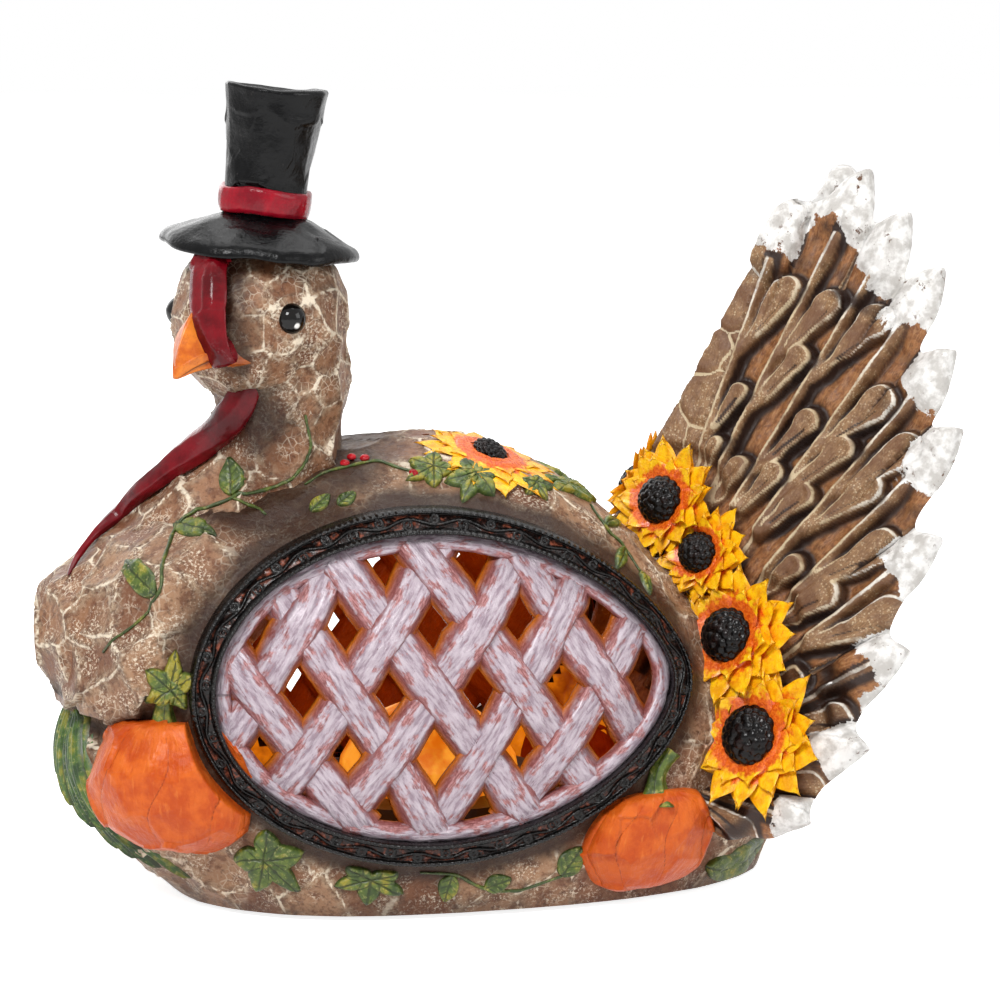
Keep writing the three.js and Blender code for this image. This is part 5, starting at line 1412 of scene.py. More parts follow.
    taper = np.sqrt(np.clip(1 - (1 - np.clip(depth / 3.4, 0, 1)) ** 2, 0, 1))
    middle = -2.4
    front = middle + (height + 0.15 * rough(flat, 2.5, 63) - middle) * taper
    barbs = 0.35 * np.abs(np.sin((np.abs(aside) * 0.9 + ahead * 0.55) * 1.1))
    shaft = 1.3 * np.exp(-(aside / 1.3) ** 2)
    back_height = -5.2 - shaft + barbs * (1 - tipped) + 0.036 * aside ** 2 + 1.4 * parting
    back = middle + (np.minimum(back_height, -3.4) - middle) * taper
    # Shade number: painted shade in the grooves under the lobes and in the partings between the thumbs, dark
    # in the cut veins, and an airbrushed dark band short of the white tips.
    burnt = 0.62 * np.exp(-((rest - white_long - 8) / 6.0) ** 2)
    shade = np.maximum.reduce([0.95 * groove, 0.85 * scratch, 0.9 * parting, burnt])
    shade = np.clip(shade + 0.3 * noise(flat, 10.0, 64), 0, 1)

    a, b, _ = links
    code, count = np.unique(np.minimum(a, b) * len(p) + np.maximum(a, b), return_counts=True)
    rim = np.zeros(len(p), bool)
    rim[code[count == 2] // len(p)] = True
    rim[code[count == 2] % len(p)] = True

    def placed(h):
        shift = np.where(on_ridge, (-0.643 * p + 0.270 * q - 0.717 * h) / 0.643, 0)
        points = fan_point(p + shift, q, h)
        points[on_ridge, 1] = 0
        return points

    front_points, back_points = placed(front), placed(back)
    outer = rim & ~on_ridge
    back_points[outer] = front_points[outer]
    facing = np.sum(normals(front_points, quads) * FAN_FRONT)
    forward = quads if facing > 0 else quads[:, ::-1]
    shape = Shape()
    shape.add(front_points, forward, line=line, recess=recess, white=white, along=along, across=across,
              shade=shade, frost=frost)
    # Back face: painted shade, darker in the partings and lighter along the shafts.
    dim = np.clip(0.25 + 0.3 * noise(flat, 10.0, 65) - 0.4 * shaft + 0.6 * parting, 0, 1)
    shape.add(back_points, forward[:, ::-1], line=0.0, recess=0.35, white=white, along=ahead, across=aside,
              shade=dim, frost=0.0)
    return shape


def feather_paint():
    """Brown lobes stippled with cream inside pale borders, red-brown hollows and torn white tips."""
    p = Paint("feather_paint", 0.42, Coat_Weight=0.05, Coat_Roughness=0.3, Specular_IOR_Level=0.3)
    line, recess, white, shade, frost = [p.number(k) for k in ("line", "recess", "white", "shade", "frost")]
    streak = p.vector(p.times(p.number("along"), 0.25), p.number("across"), 0.0)
    patch, grain, speck = p.noise(9.0, 4.0), p.noise(1.4, 4.0), p.noise(0.7, 5.0, roughness=0.75)
    hair = p.noise(0.5, 3.0, streak)
    base = p.mix(p.step(patch, 0.35, 0.65), "6c4a31", "93714f")
    base = p.mix(p.step(hair, 0.42, 0.62, 0.0, 0.5), base, "5a3923")
    dots = p.step(p.cells(0.9, "F1"), 0.36, 0.2)
    stipple = p.times(dots, p.step(patch, 0.45, 0.6, 0.05, 0.6))
    base = p.mix(stipple, base, "c9b697")
    flecks = p.times(p.step(speck, 0.56, 0.66), p.step(patch, 0.38, 0.6, 0.1, 0.55))
    base = p.mix(flecks, base, "cbb897")
    ragged = p.plus(line, p.times(p.less(p.noise(2.0, 4.0), 0.5), 0.6))
    border = p.times(p.step(ragged, 0.42, 0.66), p.step(p.noise(6.0), 0.34, 0.52, 0.35, 0.92))
    base = p.mix(border, base, p.mix(frost, "c7b493", "e8e2d6"))
    hollow = p.mix(p.step(grain, 0.35, 0.65), "724629", "9a683f")
    hollow = p.mix(p.step(hair, 0.5, 0.62, 0.0, 0.4), hollow, "b48a60")
    base = p.mix(p.step(recess, 0.3, 0.7), base, hollow)
    # Painted shade from the shade number: dark in the grooves under the lobes and in the partings, together
    # with the airbrushed band and the cut veins.
    base = p.mix(p.step(shade, 0.35, 0.85), base, "26150d")
    chalk = p.mix(p.step(p.noise(4.0, 4.0), 0.38, 0.62), "bdb9b4", "e9e7e4")
    chip = p.step(p.noise(2.8, 5.0, roughness=0.7), 0.60, 0.64)
    chalk = p.mix(p.times(chip, p.step(p.noise(9.0), 0.42, 0.58)), chalk, "5d3f2b")
    torn = p.plus(white, p.times(p.less(p.noise(2.6, 5.0, roughness=0.7), 0.5), 2.2))
    torn = p.plus(torn, p.times(p.times(p.step(line, 0.3, 0.8), frost), 0.3))
    base = p.mix(p.step(torn, 0.47, 0.55), base, chalk)
    height = p.plus(p.times(grain, 0.5), p.times(speck, 0.4))
    normal = p.bump(height, 0.3)
    normal = p.bump(hair, 0.18, normal)
    return p.finish(base, normal, p.step(grain, 0.3, 0.7, 0.34, 0.55))


tail_shape = tail_half()
tail_paint = feather_paint()
piece("tail_fan_look_near", tail_shape, tail_paint, "feather_brown", "tail_fan")
piece("tail_fan_look_far", tail_shape.mirrored(), tail_paint, "feather_brown", "tail_fan")


# Flowers

def petal(angle, inner, outer, wide, low, high, curl, seed, split):
    """One closed petal in the flower's own frame, pointing out at an angle."""
    nu, nv = 17, 11
    u = np.linspace(0, 1, nu)[:, None]
    v = np.linspace(-1, 1, nv)[None]
    half = wide * (0.45 * (1 - u) ** 2 + np.sin(np.pi * np.clip(u, 0, 1) ** 0.85) ** 0.7)
    half = half * (1 + 0.06 * np.sin(9 * u + seed))
    r = inner + (outer - inner) * u + split * (1 - np.abs(v)) * u ** 4
    aside = half * v + 0.10 * wide * np.sin(3 * u + seed) * u
    groove = -0.40 * np.exp(-(v / 0.2) ** 2) + 0.20 * np.cos(v * 9.0) * (1 - v ** 2)
    arch = np.sin(np.pi * u)
    lift = low + (high - low) * u + curl * u * u + groove * arch - 0.7 * (v ** 2) * arch
    thick = 1.3 * (1 - v ** 2) * np.sin(np.pi * np.clip(u * 0.94 + 0.05, 0, 1)) ** 0.5
    c, s = math.cos(angle), math.sin(angle)
    flat = np.stack([r * c - aside * s, r * s + aside * c], -1)
    upper = np.concatenate([flat, lift[..., None]], -1)
    lower = np.concatenate([flat, (lift - thick)[..., None]], -1)
    faces = grid(nu, nv)
    tip = np.broadcast_to(u, (nu, nv))
    side = np.broadcast_to(np.abs(v), (nu, nv))
    return (upper.reshape(-1, 3), faces), (lower.reshape(-1, 3), faces[:, ::-1]), tip.ravel(), side.ravel()


def flower_petals(radius, seed, lean=1.0):
    """Three rings of petals round a low cushion, in the flower's own frame."""
    pick = np.random.default_rng(seed)
    out = Shape()
    rings = ((13, 1.0, 0.36, -1.0, -0.2, 0.6, 1.0),
             (12, 0.90, 0.34, 0.1, 1.8, 0.8, 1.0),
             (10, 0.68, 0.30, 1.0, 3.2, 0.3, 0.75))
    for count, reach, wide, low, high, curl, yellow in rings:
        first = pick.uniform(0, 1)
        for k in range(count):
            angle = 2 * np.pi * (k + first + pick.uniform(-0.22, 0.22)) / count
            length = radius * reach * pick.uniform(0.88, 1.08)
            half = radius * wide * 0.62 * pick.uniform(0.85, 1.15)
            sides = petal(angle, 0.28 * radius, length, half, low, high * lean * pick.uniform(0.6, 1.3),
                          curl * pick.uniform(-0.5, 1.6), pick.uniform(0, 6), 0.10 * radius)
            tone = pick.uniform()
            for (points, faces), under in ((sides[0], 0.0), (sides[1], 1.0)):
                out.add(points, faces, tip=sides[2] * yellow, side=sides[3], tone=tone, under=under)
    ring = turns(48)
    rows = [(0.0, -0.4), (0.2, -0.2), (0.36, 0.9), (0.44, 1.5), (0.52, 0.8), (0.60, -1.2)]
    ripple = 0.25 * np.sin(ring * 12)
    disc = [np.stack([radius * r * np.cos(ring), radius * r * np.sin(ring), h + ripple * r], -1)
            for r, h in rows]
    out.add(np.array(disc), grid(len(rows), 48, wrap=True)[:, ::-1], tip=0.05, side=0.2, tone=0.3, under=0.0)
    return out


def seed_head(radius, dome, seed):
    """Dome covered in seeds set in spirals."""
    around, rows = 120, 34
    count = 52
    k = np.arange(count) + 0.5
    far = np.arccos(1 - k / count)
    turn = np.pi * (1 + 5 ** 0.5) * k + seed
    spots = np.stack([np.sin(far) * np.cos(turn), np.sin(far) * np.sin(turn), np.cos(far)], -1)
    lat = np.linspace(0, np.pi / 2, rows)[:, None]
    lon = turns(around)[None]
    across = np.sin(lat)
    dome_points = np.broadcast_arrays(across * np.cos(lon), across * np.sin(lon), np.cos(lat))
    flat = np.stack(dome_points, -1).reshape(-1, 3)
    near = np.max(flat @ spots.T, 1)
    gap = np.arccos(np.clip(near, -1, 1))
    size = 0.205
    bump = np.sqrt(np.clip(1 - (gap / size) ** 2, 0, 1))
    stretch = np.array([radius, radius, dome])
    points = flat * stretch + flat * (0.8 * bump)[:, None] - [0, 0, 0.2]
    return points, grid(rows, around, wrap=True), bump


def set_in(frame, points):
    place, level, upward, facing = frame
    return place + points[:, :1] * level + points[:, 1:2] * upward + points[:, 2:] * facing


def petal_paint():
    """Bright yellow tips over orange, laid on in thick strokes."""
    p = Paint("petal_yellow", 0.24, Coat_Weight=0.15, Coat_Roughness=0.15, Specular_IOR_Level=0.3)
    tip, side, tone = p.number("tip"), p.number("side"), p.number("tone")
    patch, grain = p.noise(2.6, 4.0), p.noise(0.8, 4.0)
    yellow = p.mix(p.step(patch, 0.35, 0.65), "e39a08", "f7c314")
    orange = p.mix(p.step(grain, 0.35, 0.65), "c9480d", "e87018")
    reach = p.plus(tip, p.times(p.less(patch, 0.5), 0.7))
    base = p.mix(p.step(reach, 0.42, 0.58), orange, yellow)
    streak = p.times(p.step(p.noise(1.3, 4.0), 0.58, 0.66), p.step(tone, 0.45, 0.9))
    base = p.mix(p.times(streak, 0.7), base, "e56a14")
    base = p.mix(p.times(p.step(side, 0.9, 1.0), 0.3), base, "c8560e")
    base = p.mix(p.times(p.number("under"), 0.3), base, "cc5a0c")
    return p.finish(base, p.bump(grain, 0.25), p.step(grain, 0.3, 0.7, 0.18, 0.34))


def seed_paint():
    p = Paint("seed_black", 0.2, Coat_Weight=0.05, Coat_Roughness=0.08, Specular_IOR_Level=0.15)
    bump, patch = p.number("bump"), p.noise(3.0, 3.0)
    base = p.mix(p.step(bump, 0.1, 0.7), "0d0604", p.mix(p.step(patch, 0.45, 0.7), "070505", "1c0f0d"))
    return p.finish(base, p.bump(p.noise(0.6), 0.08))


yellow_paint, black_seed = petal_paint(), seed_paint()
for flower in range(4):
    spot, size = flower_frame(flower), FLOWER_RADII[flower]
    local = flower_petals(size * 1.1, 200 + flower)
    placed = local.moved(lambda p: set_in(spot, p))
    name = f"sunflower_{flower + 1}"
    pair(name + "_petals", placed, yellow_paint, "petal_yellow")
    points, quads, bump = seed_head(SEED_SHARE * size, 4.8, flower)
    points = set_in(spot, points + [0, 0, 1.2])
    pair(name + "_seeds", Shape().add(points, quads, bump=bump), black_seed, "seed_brown")


def body_top(x, y):
    """Height of the skin over a place in plan."""
    height = np.full(np.shape(x), 40.0)
    for _ in range(12):
        across = np.abs(x - BODY_X) / body_length(x - BODY_X, height)
        flat = (across ** PLAN_POWER + (np.abs(y) / BODY_SIDE) ** PLAN_POWER) ** (1 / PLAN_POWER)
        flat = np.minimum(0.999, flat)
        height = BODY_RISE * np.sqrt(1 - flat ** 2)
    return BODY_MID + height


def back_flower():
    """Flower laid over the back, its petals following the skin."""

    def laid(points, squeeze, rise, share):
        x, y = BACK_FLOWER_X + points[:, 0], BACK_FLOWER_Y + points[:, 1] * squeeze
        return np.stack([x, y, body_top(x, y) + rise + share * points[:, 2]], -1)

    petals = flower_petals(BACK_FLOWER_RADIUS, 230, 0.3).moved(lambda p: laid(p, 0.92, 0.8, 0.6))
    points, quads, bump = seed_head(3.8, 2.2, 3)
    return petals, Shape().add(laid(points, 1.0, 1.2, 1.0), quads, bump=bump)


back_petals, back_seeds = back_flower()
piece("back_flower_look", back_petals, yellow_paint, "petal_yellow", "back_flower")
piece("back_flower_seeds", back_seeds, black_seed, "seed_brown", "back_flower")


# Pumpkins

PUMPKINS = dict(front=(-94.0, 37.0, 21.5, 19.5, 10.5), rear=(30.0, 19.0, 18.5, 14.5, 8.0))


def pumpkin_frame(key):
    x, z, half, high, out = PUMPKINS[key]
    outward = unit(body_normal(x, z) * [1, 1, 0])
    level = unit(np.cross(UP, outward))
    return np.array([x, -body_side(x, z), z]), level, outward, half, high, out


def pumpkin_seat():
    """The smooth body that the pumpkins lie on."""
    cols, rows = 240, 90
    angle = turns(cols)
    levels = np.linspace(-(BODY_MID - FLOOR_CUT) / BODY_DROP, 0.7, rows)
    points = bellied(body_point(angle[None], levels[:, None]).reshape(-1, 3))
    return BVHTree.FromPolygons(points.tolist(), grid(rows, cols, wrap=True).tolist())


def pumpkin_shape(key, seed):
    """Low ribbed pumpkin with a few thin cut lines."""
    centre, level, outward, half, high, out = pumpkin_frame(key)
    around, rows = 260, 130
    lat = np.linspace(-np.pi / 2, np.pi / 2, rows)[:, None]
    lon = turns(around)[None]
    bend = lon + 0.16 * np.sin(1.6 * lat + seed) + 0.05 * np.sin(5 * lat + 2 * seed)
    wave = np.abs(np.sin(4.5 * bend + 0.35 * np.sin(2 * lon)))
    ribbed = 1 - 0.045 * (1 - wave) ** 1.5 - 0.035 * np.exp(-(wave / 0.06) ** 2)
    flat = np.cos(lat)
    dimple = 1 - 0.16 * (1 - flat) ** 2
    boxy = (np.abs(np.cos(lon)) ** 2.5 + np.abs(np.sin(lon)) ** 2.5) ** (-1 / 2.5)
    local = np.stack(np.broadcast_arrays(
        flat ** 0.8 * np.cos(lon) * boxy * ribbed * half, flat ** 0.8 * np.sin(lon) * boxy * ribbed * out,
        np.sin(lat) * dimple * high), -1).reshape(-1, 3)
    flat_face = centre + local[:, :1] * level + local[:, 2:] * UP
    hits = [seat_tree.ray_cast(Vector(p + 60 * outward), Vector(-outward))[3] for p in flat_face]
    points = flat_face + (local[:, 1:2] + 60 - np.array(hits)[:, None]) * outward
    quads = grid(rows, around, wrap=True)
    if np.sum(normals(points, quads) * (points - centre)) < 0:
        quads = quads[:, ::-1]
    points, numbers = carved(points, quads, 10.0, seed, 0.4, 0.3)
    rim_gap = egg_distance(points[:, 0], points[:, 2])
    room = body_side(points[:, 0], points[:, 2]) - 0.8
    room = room + 14 * ease(rim_gap, 0.6, 4.5) + 60 * ease(rim_gap, 4.5, 9.0)
    points[:, 1] = -np.minimum(-points[:, 1], room)
    spread = lambda values: np.broadcast_to(values, (rows, around)).ravel()
    numbers["groove"] = spread(np.exp(-(wave / 0.07) ** 2) * (0.35 + 0.65 * flat))
    numbers["low"] = spread(ease(np.sin(lat), 0.2, -0.9))
    numbers["turn"] = spread(lon * 9)
    numbers["climb"] = spread(lat * 14)
    points[:, 2] = np.maximum(points[:, 2], FLOOR_CUT + 0.2)
    return Shape().add(points, quads, **numbers)


def pumpkin_paint():
    """Orange laid on with a dry brush, dark in the cut lines."""
    p = Paint("pumpkin_orange", 0.42, Coat_Weight=0.05, Coat_Roughness=0.22, Specular_IOR_Level=0.2)
    streak = p.vector(p.number("turn"), p.times(p.number("climb"), 0.14), 0.0)
    patch, hair, grain = p.noise(7.0, 4.0), p.noise(0.55, 4.0, streak), p.noise(1.2, 4.0)
    base = p.mix(p.step(patch, 0.35, 0.65), "b5450b", "cf611c")
    base = p.mix(p.step(hair, 0.54, 0.72, 0.0, 0.4), base, "de8038")
    base = p.mix(p.times(p.step(hair, 0.42, 0.32), 0.45), base, "b03f0c")
    base = p.mix(p.times(p.number("low"), 0.35), base, "c04a16")
    line = p.plus(p.number("groove"), p.times(p.less(grain, 0.5), 0.6))
    line = p.step(line, 0.55, 0.9)
    base = p.mix(p.times(line, 0.7), base, "7d2a0a")
    normal = p.bump(hair, 0.3)
    return p.finish(base, p.bump(grain, 0.2, normal), p.step(grain, 0.3, 0.7, 0.28, 0.44))


def stem_shape(key, seed):
    centre, level, outward, _, high, out = pumpkin_frame(key)
    foot = centre + outward * 0.3 * out
    t = np.linspace(0, 1, 44)
    bends = ((0.70 * high, 0.0), (high + 3.0, 0.6), (high + 9.0, 4.5))
    path = curve([foot + UP * rise + level * aside for rise, aside in bends], t)
    thick = 2.2 * between([2.6, 1.3, 0.95, 0.88, 0.9, 1.15], t)
    ridged = lambda t, angle: 1 + 0.16 * np.abs(np.cos(2.5 * angle + 1.2 * t)) + 0.06 * np.sin(7 * angle)
    points, quads = tube(path, thick, thick, outward, 48, ridged)
    ribs = np.abs(np.cos(2.5 * np.tile(turns(48), len(t) + 2)))
    points = points + 0.15 * rough(points, 2.0, seed)[:, None]
    return Shape().add(points, quads, edge=ribs * 2, vein=ribs * 1.5, tone=0.5)


def leaf_paint(name, dark, mid, bright):
    """Green leaves with yellow washes, dark veins and a dark outline."""
    p = Paint(name, 0.38, Coat_Weight=0.1, Coat_Roughness=0.2, Specular_IOR_Level=0.3)
    vein, edge, tone = p.number("vein"), p.number("edge"), p.number("tone")
    patch, grain = p.noise(4.0, 4.0), p.noise(1.0, 4.0)
    wash = p.plus(patch, p.times(p.less(tone, 0.5), 0.22))
    base = p.mix(p.step(wash, 0.36, 0.54), dark, mid)
    base = p.mix(p.step(wash, 0.50, 0.68, 0.0, 0.85), base, bright)
    base = p.mix(p.step(grain, 0.56, 0.66, 0.0, 0.25), base, "c9c08a")
    base = p.mix(p.times(p.step(vein, 0.36, 0.14), 0.8), base, "1f2a0a")
    base = p.mix(p.times(p.step(edge, 0.42, 0.10), 0.75), base, "232a0e")
    return p.finish(base, p.bump(grain, 0.2), p.step(grain, 0.3, 0.7, 0.28, 0.46))


green_paint = leaf_paint("leaf_green", "33441a", "546526", "978a2c")
orange_paint = pumpkin_paint()
seat_tree = pumpkin_seat()
for spot in ("front", "rear"):
    pair(f"{spot}_pumpkin", pumpkin_shape(spot, 240 + len(spot)), orange_paint, "pumpkin_orange")
    pair(f"{spot}_pumpkin_stem", stem_shape(spot, 250), green_paint, "leaf_green")


# Leaves, vines and berries that lie on the skin

def vine(shape, spots, thick=0.6):
    """Raised stem laid along the skin through places in the view."""
    knots = np.array([seen(*s)[0] for s in spots])
    length = np.sum(np.linalg.norm(np.diff(knots, axis=0), axis=1))
    t = np.linspace(0, 1, max(12, int(length / 0.9)))
    laid, out = settle(curve(knots, t))
    out = smoothed(out, (np.concatenate([np.arange(len(t) - 1), np.arange(1, len(t))]),
                         np.concatenate([np.arange(1, len(t)), np.arange(len(t) - 1)]), len(t)), 6)
    path = laid + unit(out) * 0.25
    width = thick * (0.75 + 0.4 * np.sin(np.pi * t)) * (1 + 0.12 * np.sin(t * length * 1.3))
    points, quads = tube(path, width, width, np.array([0.3, 0.2, 1.0]), 10)
    shape.add(points, quads, vein=0.9, edge=0.28, tone=0.2)


def laid_leaf(shape, spot, toward, wide, rise=1.1, tone=0.5):
    """Leaf on the skin between two places in the view; wide is its half width in millimetres."""
    root, tip = seen(*spot)[0], seen(*toward)[0]
    along = tip - root
    length = np.linalg.norm(along)
    along = along / length
    out = unit(settle([root + along * length * k for k in (0.2, 0.5, 0.8)])[1].mean(0))
    aside = unit(np.cross(out, along))
    nu, nv = 26, 15
    u = np.linspace(0, 1, nu)[:, None]
    v = np.linspace(-1, 1, nv)[None]
    half = wide * np.sin(np.pi * u ** 0.8) ** 0.85 + 0.15
    flat = root + along * ((u * length + 0 * v)[..., None]) + aside * ((half * v)[..., None])
    laid, normal = settle(flat.reshape(-1, 3))
    mid = np.abs(half * v)
    step = max(1.9, length / 5)
    rib = np.abs((u * length - 0.8 * mid) % step - 0.5 * step) * 0.75
    vein = np.minimum(mid, np.where((mid > 0.3) & (np.abs(v) < 0.85), rib + 0.08, 9.0))
    rim = np.minimum(half * (1 - np.abs(v)), np.minimum(u, 1 - u) * length)
    lift = rise * np.sqrt(np.clip(rim / 0.7, 0, 1)) - 0.35 * np.exp(-(vein / 0.3) ** 2)
    lift = np.where(rim < 0.02, -0.5, lift)
    points = laid + unit(0.5 * out + 0.5 * normal) * lift.reshape(-1, 1)
    quads = grid(nu, nv)
    if np.sum(normals(points, quads) * out) < 0:
        quads = quads[:, ::-1]
    shape.add(points, quads, vein=vein, edge=rim, tone=tone)


IVY_TURNS = np.radians([0, 10, 28, 48, 60, 92, 112, 128, 168, 180])
IVY_REACH = np.array([1.0, 0.78, 0.52, 0.72, 0.85, 0.50, 0.60, 0.68, 0.42, 0.26])


def ivy_leaf(shape, spot, toward, wide, rise=1.6, tone=0.5):
    """Five-pointed leaf on the skin between two places in the view; wide is its half width in millimetres."""
    root, tip = seen(*spot)[0], seen(*toward)[0]
    length = np.linalg.norm(tip - root)
    along = (tip - root) / length
    size = length / 1.26
    middle = root + along * 0.26 * size
    out = unit(settle([root + along * length * k for k in (0.2, 0.5, 0.8)])[1].mean(0))
    aside = unit(np.cross(out, along))
    rings, cols = 15, 120
    turn = turns(cols)
    folded = np.minimum(turn, 2 * np.pi - turn)
    reach = np.interp(folded, IVY_TURNS, IVY_REACH) * size
    share = (np.arange(rings) / (rings - 1))[:, None]
    ahead = share * reach * np.cos(turn)
    across = share * reach * np.sin(turn) * wide / (0.74 * size)
    laid, normal = settle((middle + ahead[..., None] * along + across[..., None] * aside).reshape(-1, 3))
    vein = np.full(ahead.shape, 9.0)
    for angle in np.radians([0, 58, -58, 126, -126]):
        run = ahead * math.cos(angle) + share * reach * np.sin(turn) * math.sin(angle)
        off = np.abs(share * reach * np.sin(turn) * math.cos(angle) - ahead * math.sin(angle))
        ribs = np.abs((run - 0.9 * off) % 3.2 - 1.6) * 0.8 + 0.1 + 0.3 * (off > 0.28 * size)
        near = np.minimum(off, np.where((run > 1.5) & (off < 0.3 * size), ribs, 9.0))
        vein = np.where(run > -0.3, np.minimum(vein, near), vein)
    rim = (1 - share) * reach * 0.72
    lift = rise * np.sqrt(np.clip(rim / 0.8, 0, 1)) - 0.4 * np.exp(-(vein / 0.3) ** 2)
    lift = np.where(rim < 0.02, -0.5, lift)
    points = laid + unit(0.5 * out + 0.5 * normal) * lift.reshape(-1, 1)
    quads = grid(rings, cols, wrap=True)
    if np.sum(normals(points, quads) * out) < 0:
        quads = quads[:, ::-1]
    shape.add(points, quads, vein=vein, edge=rim, tone=tone)


def greenery():
    shape = Shape()
    vine(shape, [(0.305, 0.415), (0.310, 0.450), (0.290, 0.480), (0.232, 0.498), (0.182, 0.520),
                 (0.164, 0.560), (0.160, 0.590), (0.135, 0.625), (0.104, 0.652)], 0.45)
    vine(shape, [(0.232, 0.498), (0.250, 0.506), (0.266, 0.515)], 0.4)
    vine(shape, [(0.305, 0.485), (0.335, 0.470), (0.372, 0.462), (0.405, 0.470), (0.440, 0.478)], 0.4)
    vine(shape, [(0.590, 0.505), (0.604, 0.525), (0.622, 0.545), (0.640, 0.572)], 0.4)
    vine(shape, [(0.420, 0.872), (0.452, 0.874), (0.484, 0.888), (0.520, 0.890), (0.570, 0.872)], 0.4)
    laid_leaf(shape, (0.232, 0.496), (0.229, 0.456), 3.6, tone=0.3)
    laid_leaf(shape, (0.174, 0.524), (0.217, 0.537), 3.2, tone=0.5)
    laid_leaf(shape, (0.156, 0.596), (0.126, 0.560), 3.6, tone=0.4)
    laid_leaf(shape, (0.311, 0.512), (0.330, 0.494), 2.2)
    laid_leaf(shape, (0.338, 0.506), (0.356, 0.492), 2.2)
    ivy_leaf(shape, (0.440, 0.464), (0.404, 0.482), 6.2, 1.4, 0.8)
    ivy_leaf(shape, (0.478, 0.470), (0.462, 0.504), 7.2, 1.5, 0.5)
    ivy_leaf(shape, (0.532, 0.480), (0.548, 0.502), 5.0, 1.4, 0.6)
    ivy_leaf(shape, (0.556, 0.484), (0.604, 0.496), 5.0, 1.4, 0.7)
    laid_leaf(shape, (0.604, 0.525), (0.622, 0.520), 1.9)
    laid_leaf(shape, (0.624, 0.548), (0.616, 0.570), 1.9)
    laid_leaf(shape, (0.640, 0.572), (0.650, 0.596), 1.9)
    ivy_leaf(shape, (0.168, 0.700), (0.176, 0.648), 7.4, 1.8, 0.95)
    ivy_leaf(shape, (0.256, 0.848), (0.302, 0.892), 9.0, 1.8, 0.4)
    ivy_leaf(shape, (0.372, 0.872), (0.366, 0.906), 9.5, 1.6, 0.55)
    laid_leaf(shape, (0.452, 0.874), (0.444, 0.902), 2.8)
    laid_leaf(shape, (0.484, 0.888), (0.512, 0.878), 2.6)
    laid_leaf(shape, (0.560, 0.876), (0.582, 0.846), 3.6)
    laid_leaf(shape, (0.712, 0.872), (0.762, 0.838), 4.6, 1.5, 0.4)
    laid_leaf(shape, (0.705, 0.866), (0.742, 0.866), 4.0, 1.5, 0.5)
    return shape


def berries():
    shape = Shape()
    for spot in ((0.345, 0.466), (0.352, 0.460), (0.365, 0.461), (0.412, 0.475)):
        place, out = seen(*spot)
        level = unit(np.cross(UP, out))
        points, quads = ball(place + out * 0.9, [level, np.cross(out, level), out], [1.3, 1.2, 0.9], 20, 14)
        shape.add(points + 0.08 * noise(points, 1.0, 4)[:, None], quads, edge=2.0, tone=0.6)
    return shape


berry_paint = gloss_paint("berry_red", "7d0a10", "c4202a", 0.16, 3.0)


near_green, near_berries = greenery(), berries()
piece("greenery_near", near_green, green_paint, "leaf_green")
piece("greenery_far", near_green.mirrored(), green_paint, "leaf_green")
piece("berries_near", near_berries, berry_paint, "gloss_red")
piece("berries_far", near_berries.mirrored(), berry_paint, "gloss_red")


# Leaf spray under the breast

def front_skin(y, z, out):
    """Place on the front of the body at a side and a height."""
    height = z - BODY_MID
    level = height / (np.where(height > 0, BODY_RISE, BODY_DROP) + out)
    ring = np.maximum(0, 1 - level ** 2) ** (PLAN_POWER / 2)
    across = np.maximum(0, ring - (np.abs(y) / (BODY_SIDE + out)) ** PLAN_POWER) ** (1 / PLAN_POWER)
    x = BODY_X - across * (BODY_FRONT + 0.16 * height + out)
    return np.stack(np.broadcast_arrays(x - across * belly_swell(x, z), y, z), -1)


def leaf_spray():
    """Long husk leaves hanging from under the breast, in three layers."""
    pick = np.random.default_rng(260)
    shape = Shape()
    layers = ((2.6, (-29, -23, -17, -9, 0, 9, 17, 23, 29), 45.0, 8.2),
              (4.0, (-26, -20, -13, -4.5, 4.5, 13, 20, 26), 38.0, 7.0),
              (5.0, (-7, 1, 8), 30.0, 5.6))
    for out, lanes, length, wide in layers:
        for lane in lanes:
            nu, nv = 40, 15
            u = np.linspace(0, 1, nu)[:, None]
            v = np.linspace(-1, 1, nv)[None]
            long = length * pick.uniform(0.85, 1.0)
            half = wide * 0.5 * np.sin(np.pi * np.clip(u * 0.93 + 0.06, 0, 1)) ** 0.7
            half = half * (1 + 0.08 * np.sin(8 * u + lane))
            y = lane * (0.35 + 0.75 * u) + half * v + 0.8 * np.sin(4 * u + lane) * u
            z = 55.0 - long * u - 0.9 * np.abs(v) * np.sin(np.pi * u)
            ridge = 0.4 * np.cos(v * 8.5 + 0.6 * np.sin(6 * u)) * (1 - v ** 2)
            rim = np.minimum(half * (1 - np.abs(v)), 3.0)
            curl = 0.8 * u ** 4
            over = out - 2.2 + 1.5 * np.sqrt(np.clip(rim, 0, 1)) + ridge + curl
            points = front_skin(y, np.maximum(z, FLOOR_CUT + 1.0), over)
            quads = grid(nu, nv)
            if np.sum(normals(points.reshape(-1, 3), quads)[:, 0]) > 0:
                quads = quads[:, ::-1]
            vein = np.abs(np.sin(v * 8.5 + 0.6 * np.sin(6 * u))) * 1.2 + 0 * u
            shape.add(points, quads, vein=vein + 0.15, edge=np.broadcast_to(rim, (nu, nv)),
                      tone=pick.uniform())
            under = front_skin(y, np.maximum(z, FLOOR_CUT + 1.0), np.minimum(over - 0.9, out - 2.2))
            shape.add(under, quads[:, ::-1], vein=1.0, edge=1.0, tone=0.1)
    return shape


spray_paint = leaf_paint("husk_green", "233a17", "435f26", "857f2a")
piece("breast_leaf_spray_look", leaf_spray(), spray_paint, "leaf_green", "breast_leaf_spray")


# Underside and light unit: the CAD pieces with softened edges and their own materials

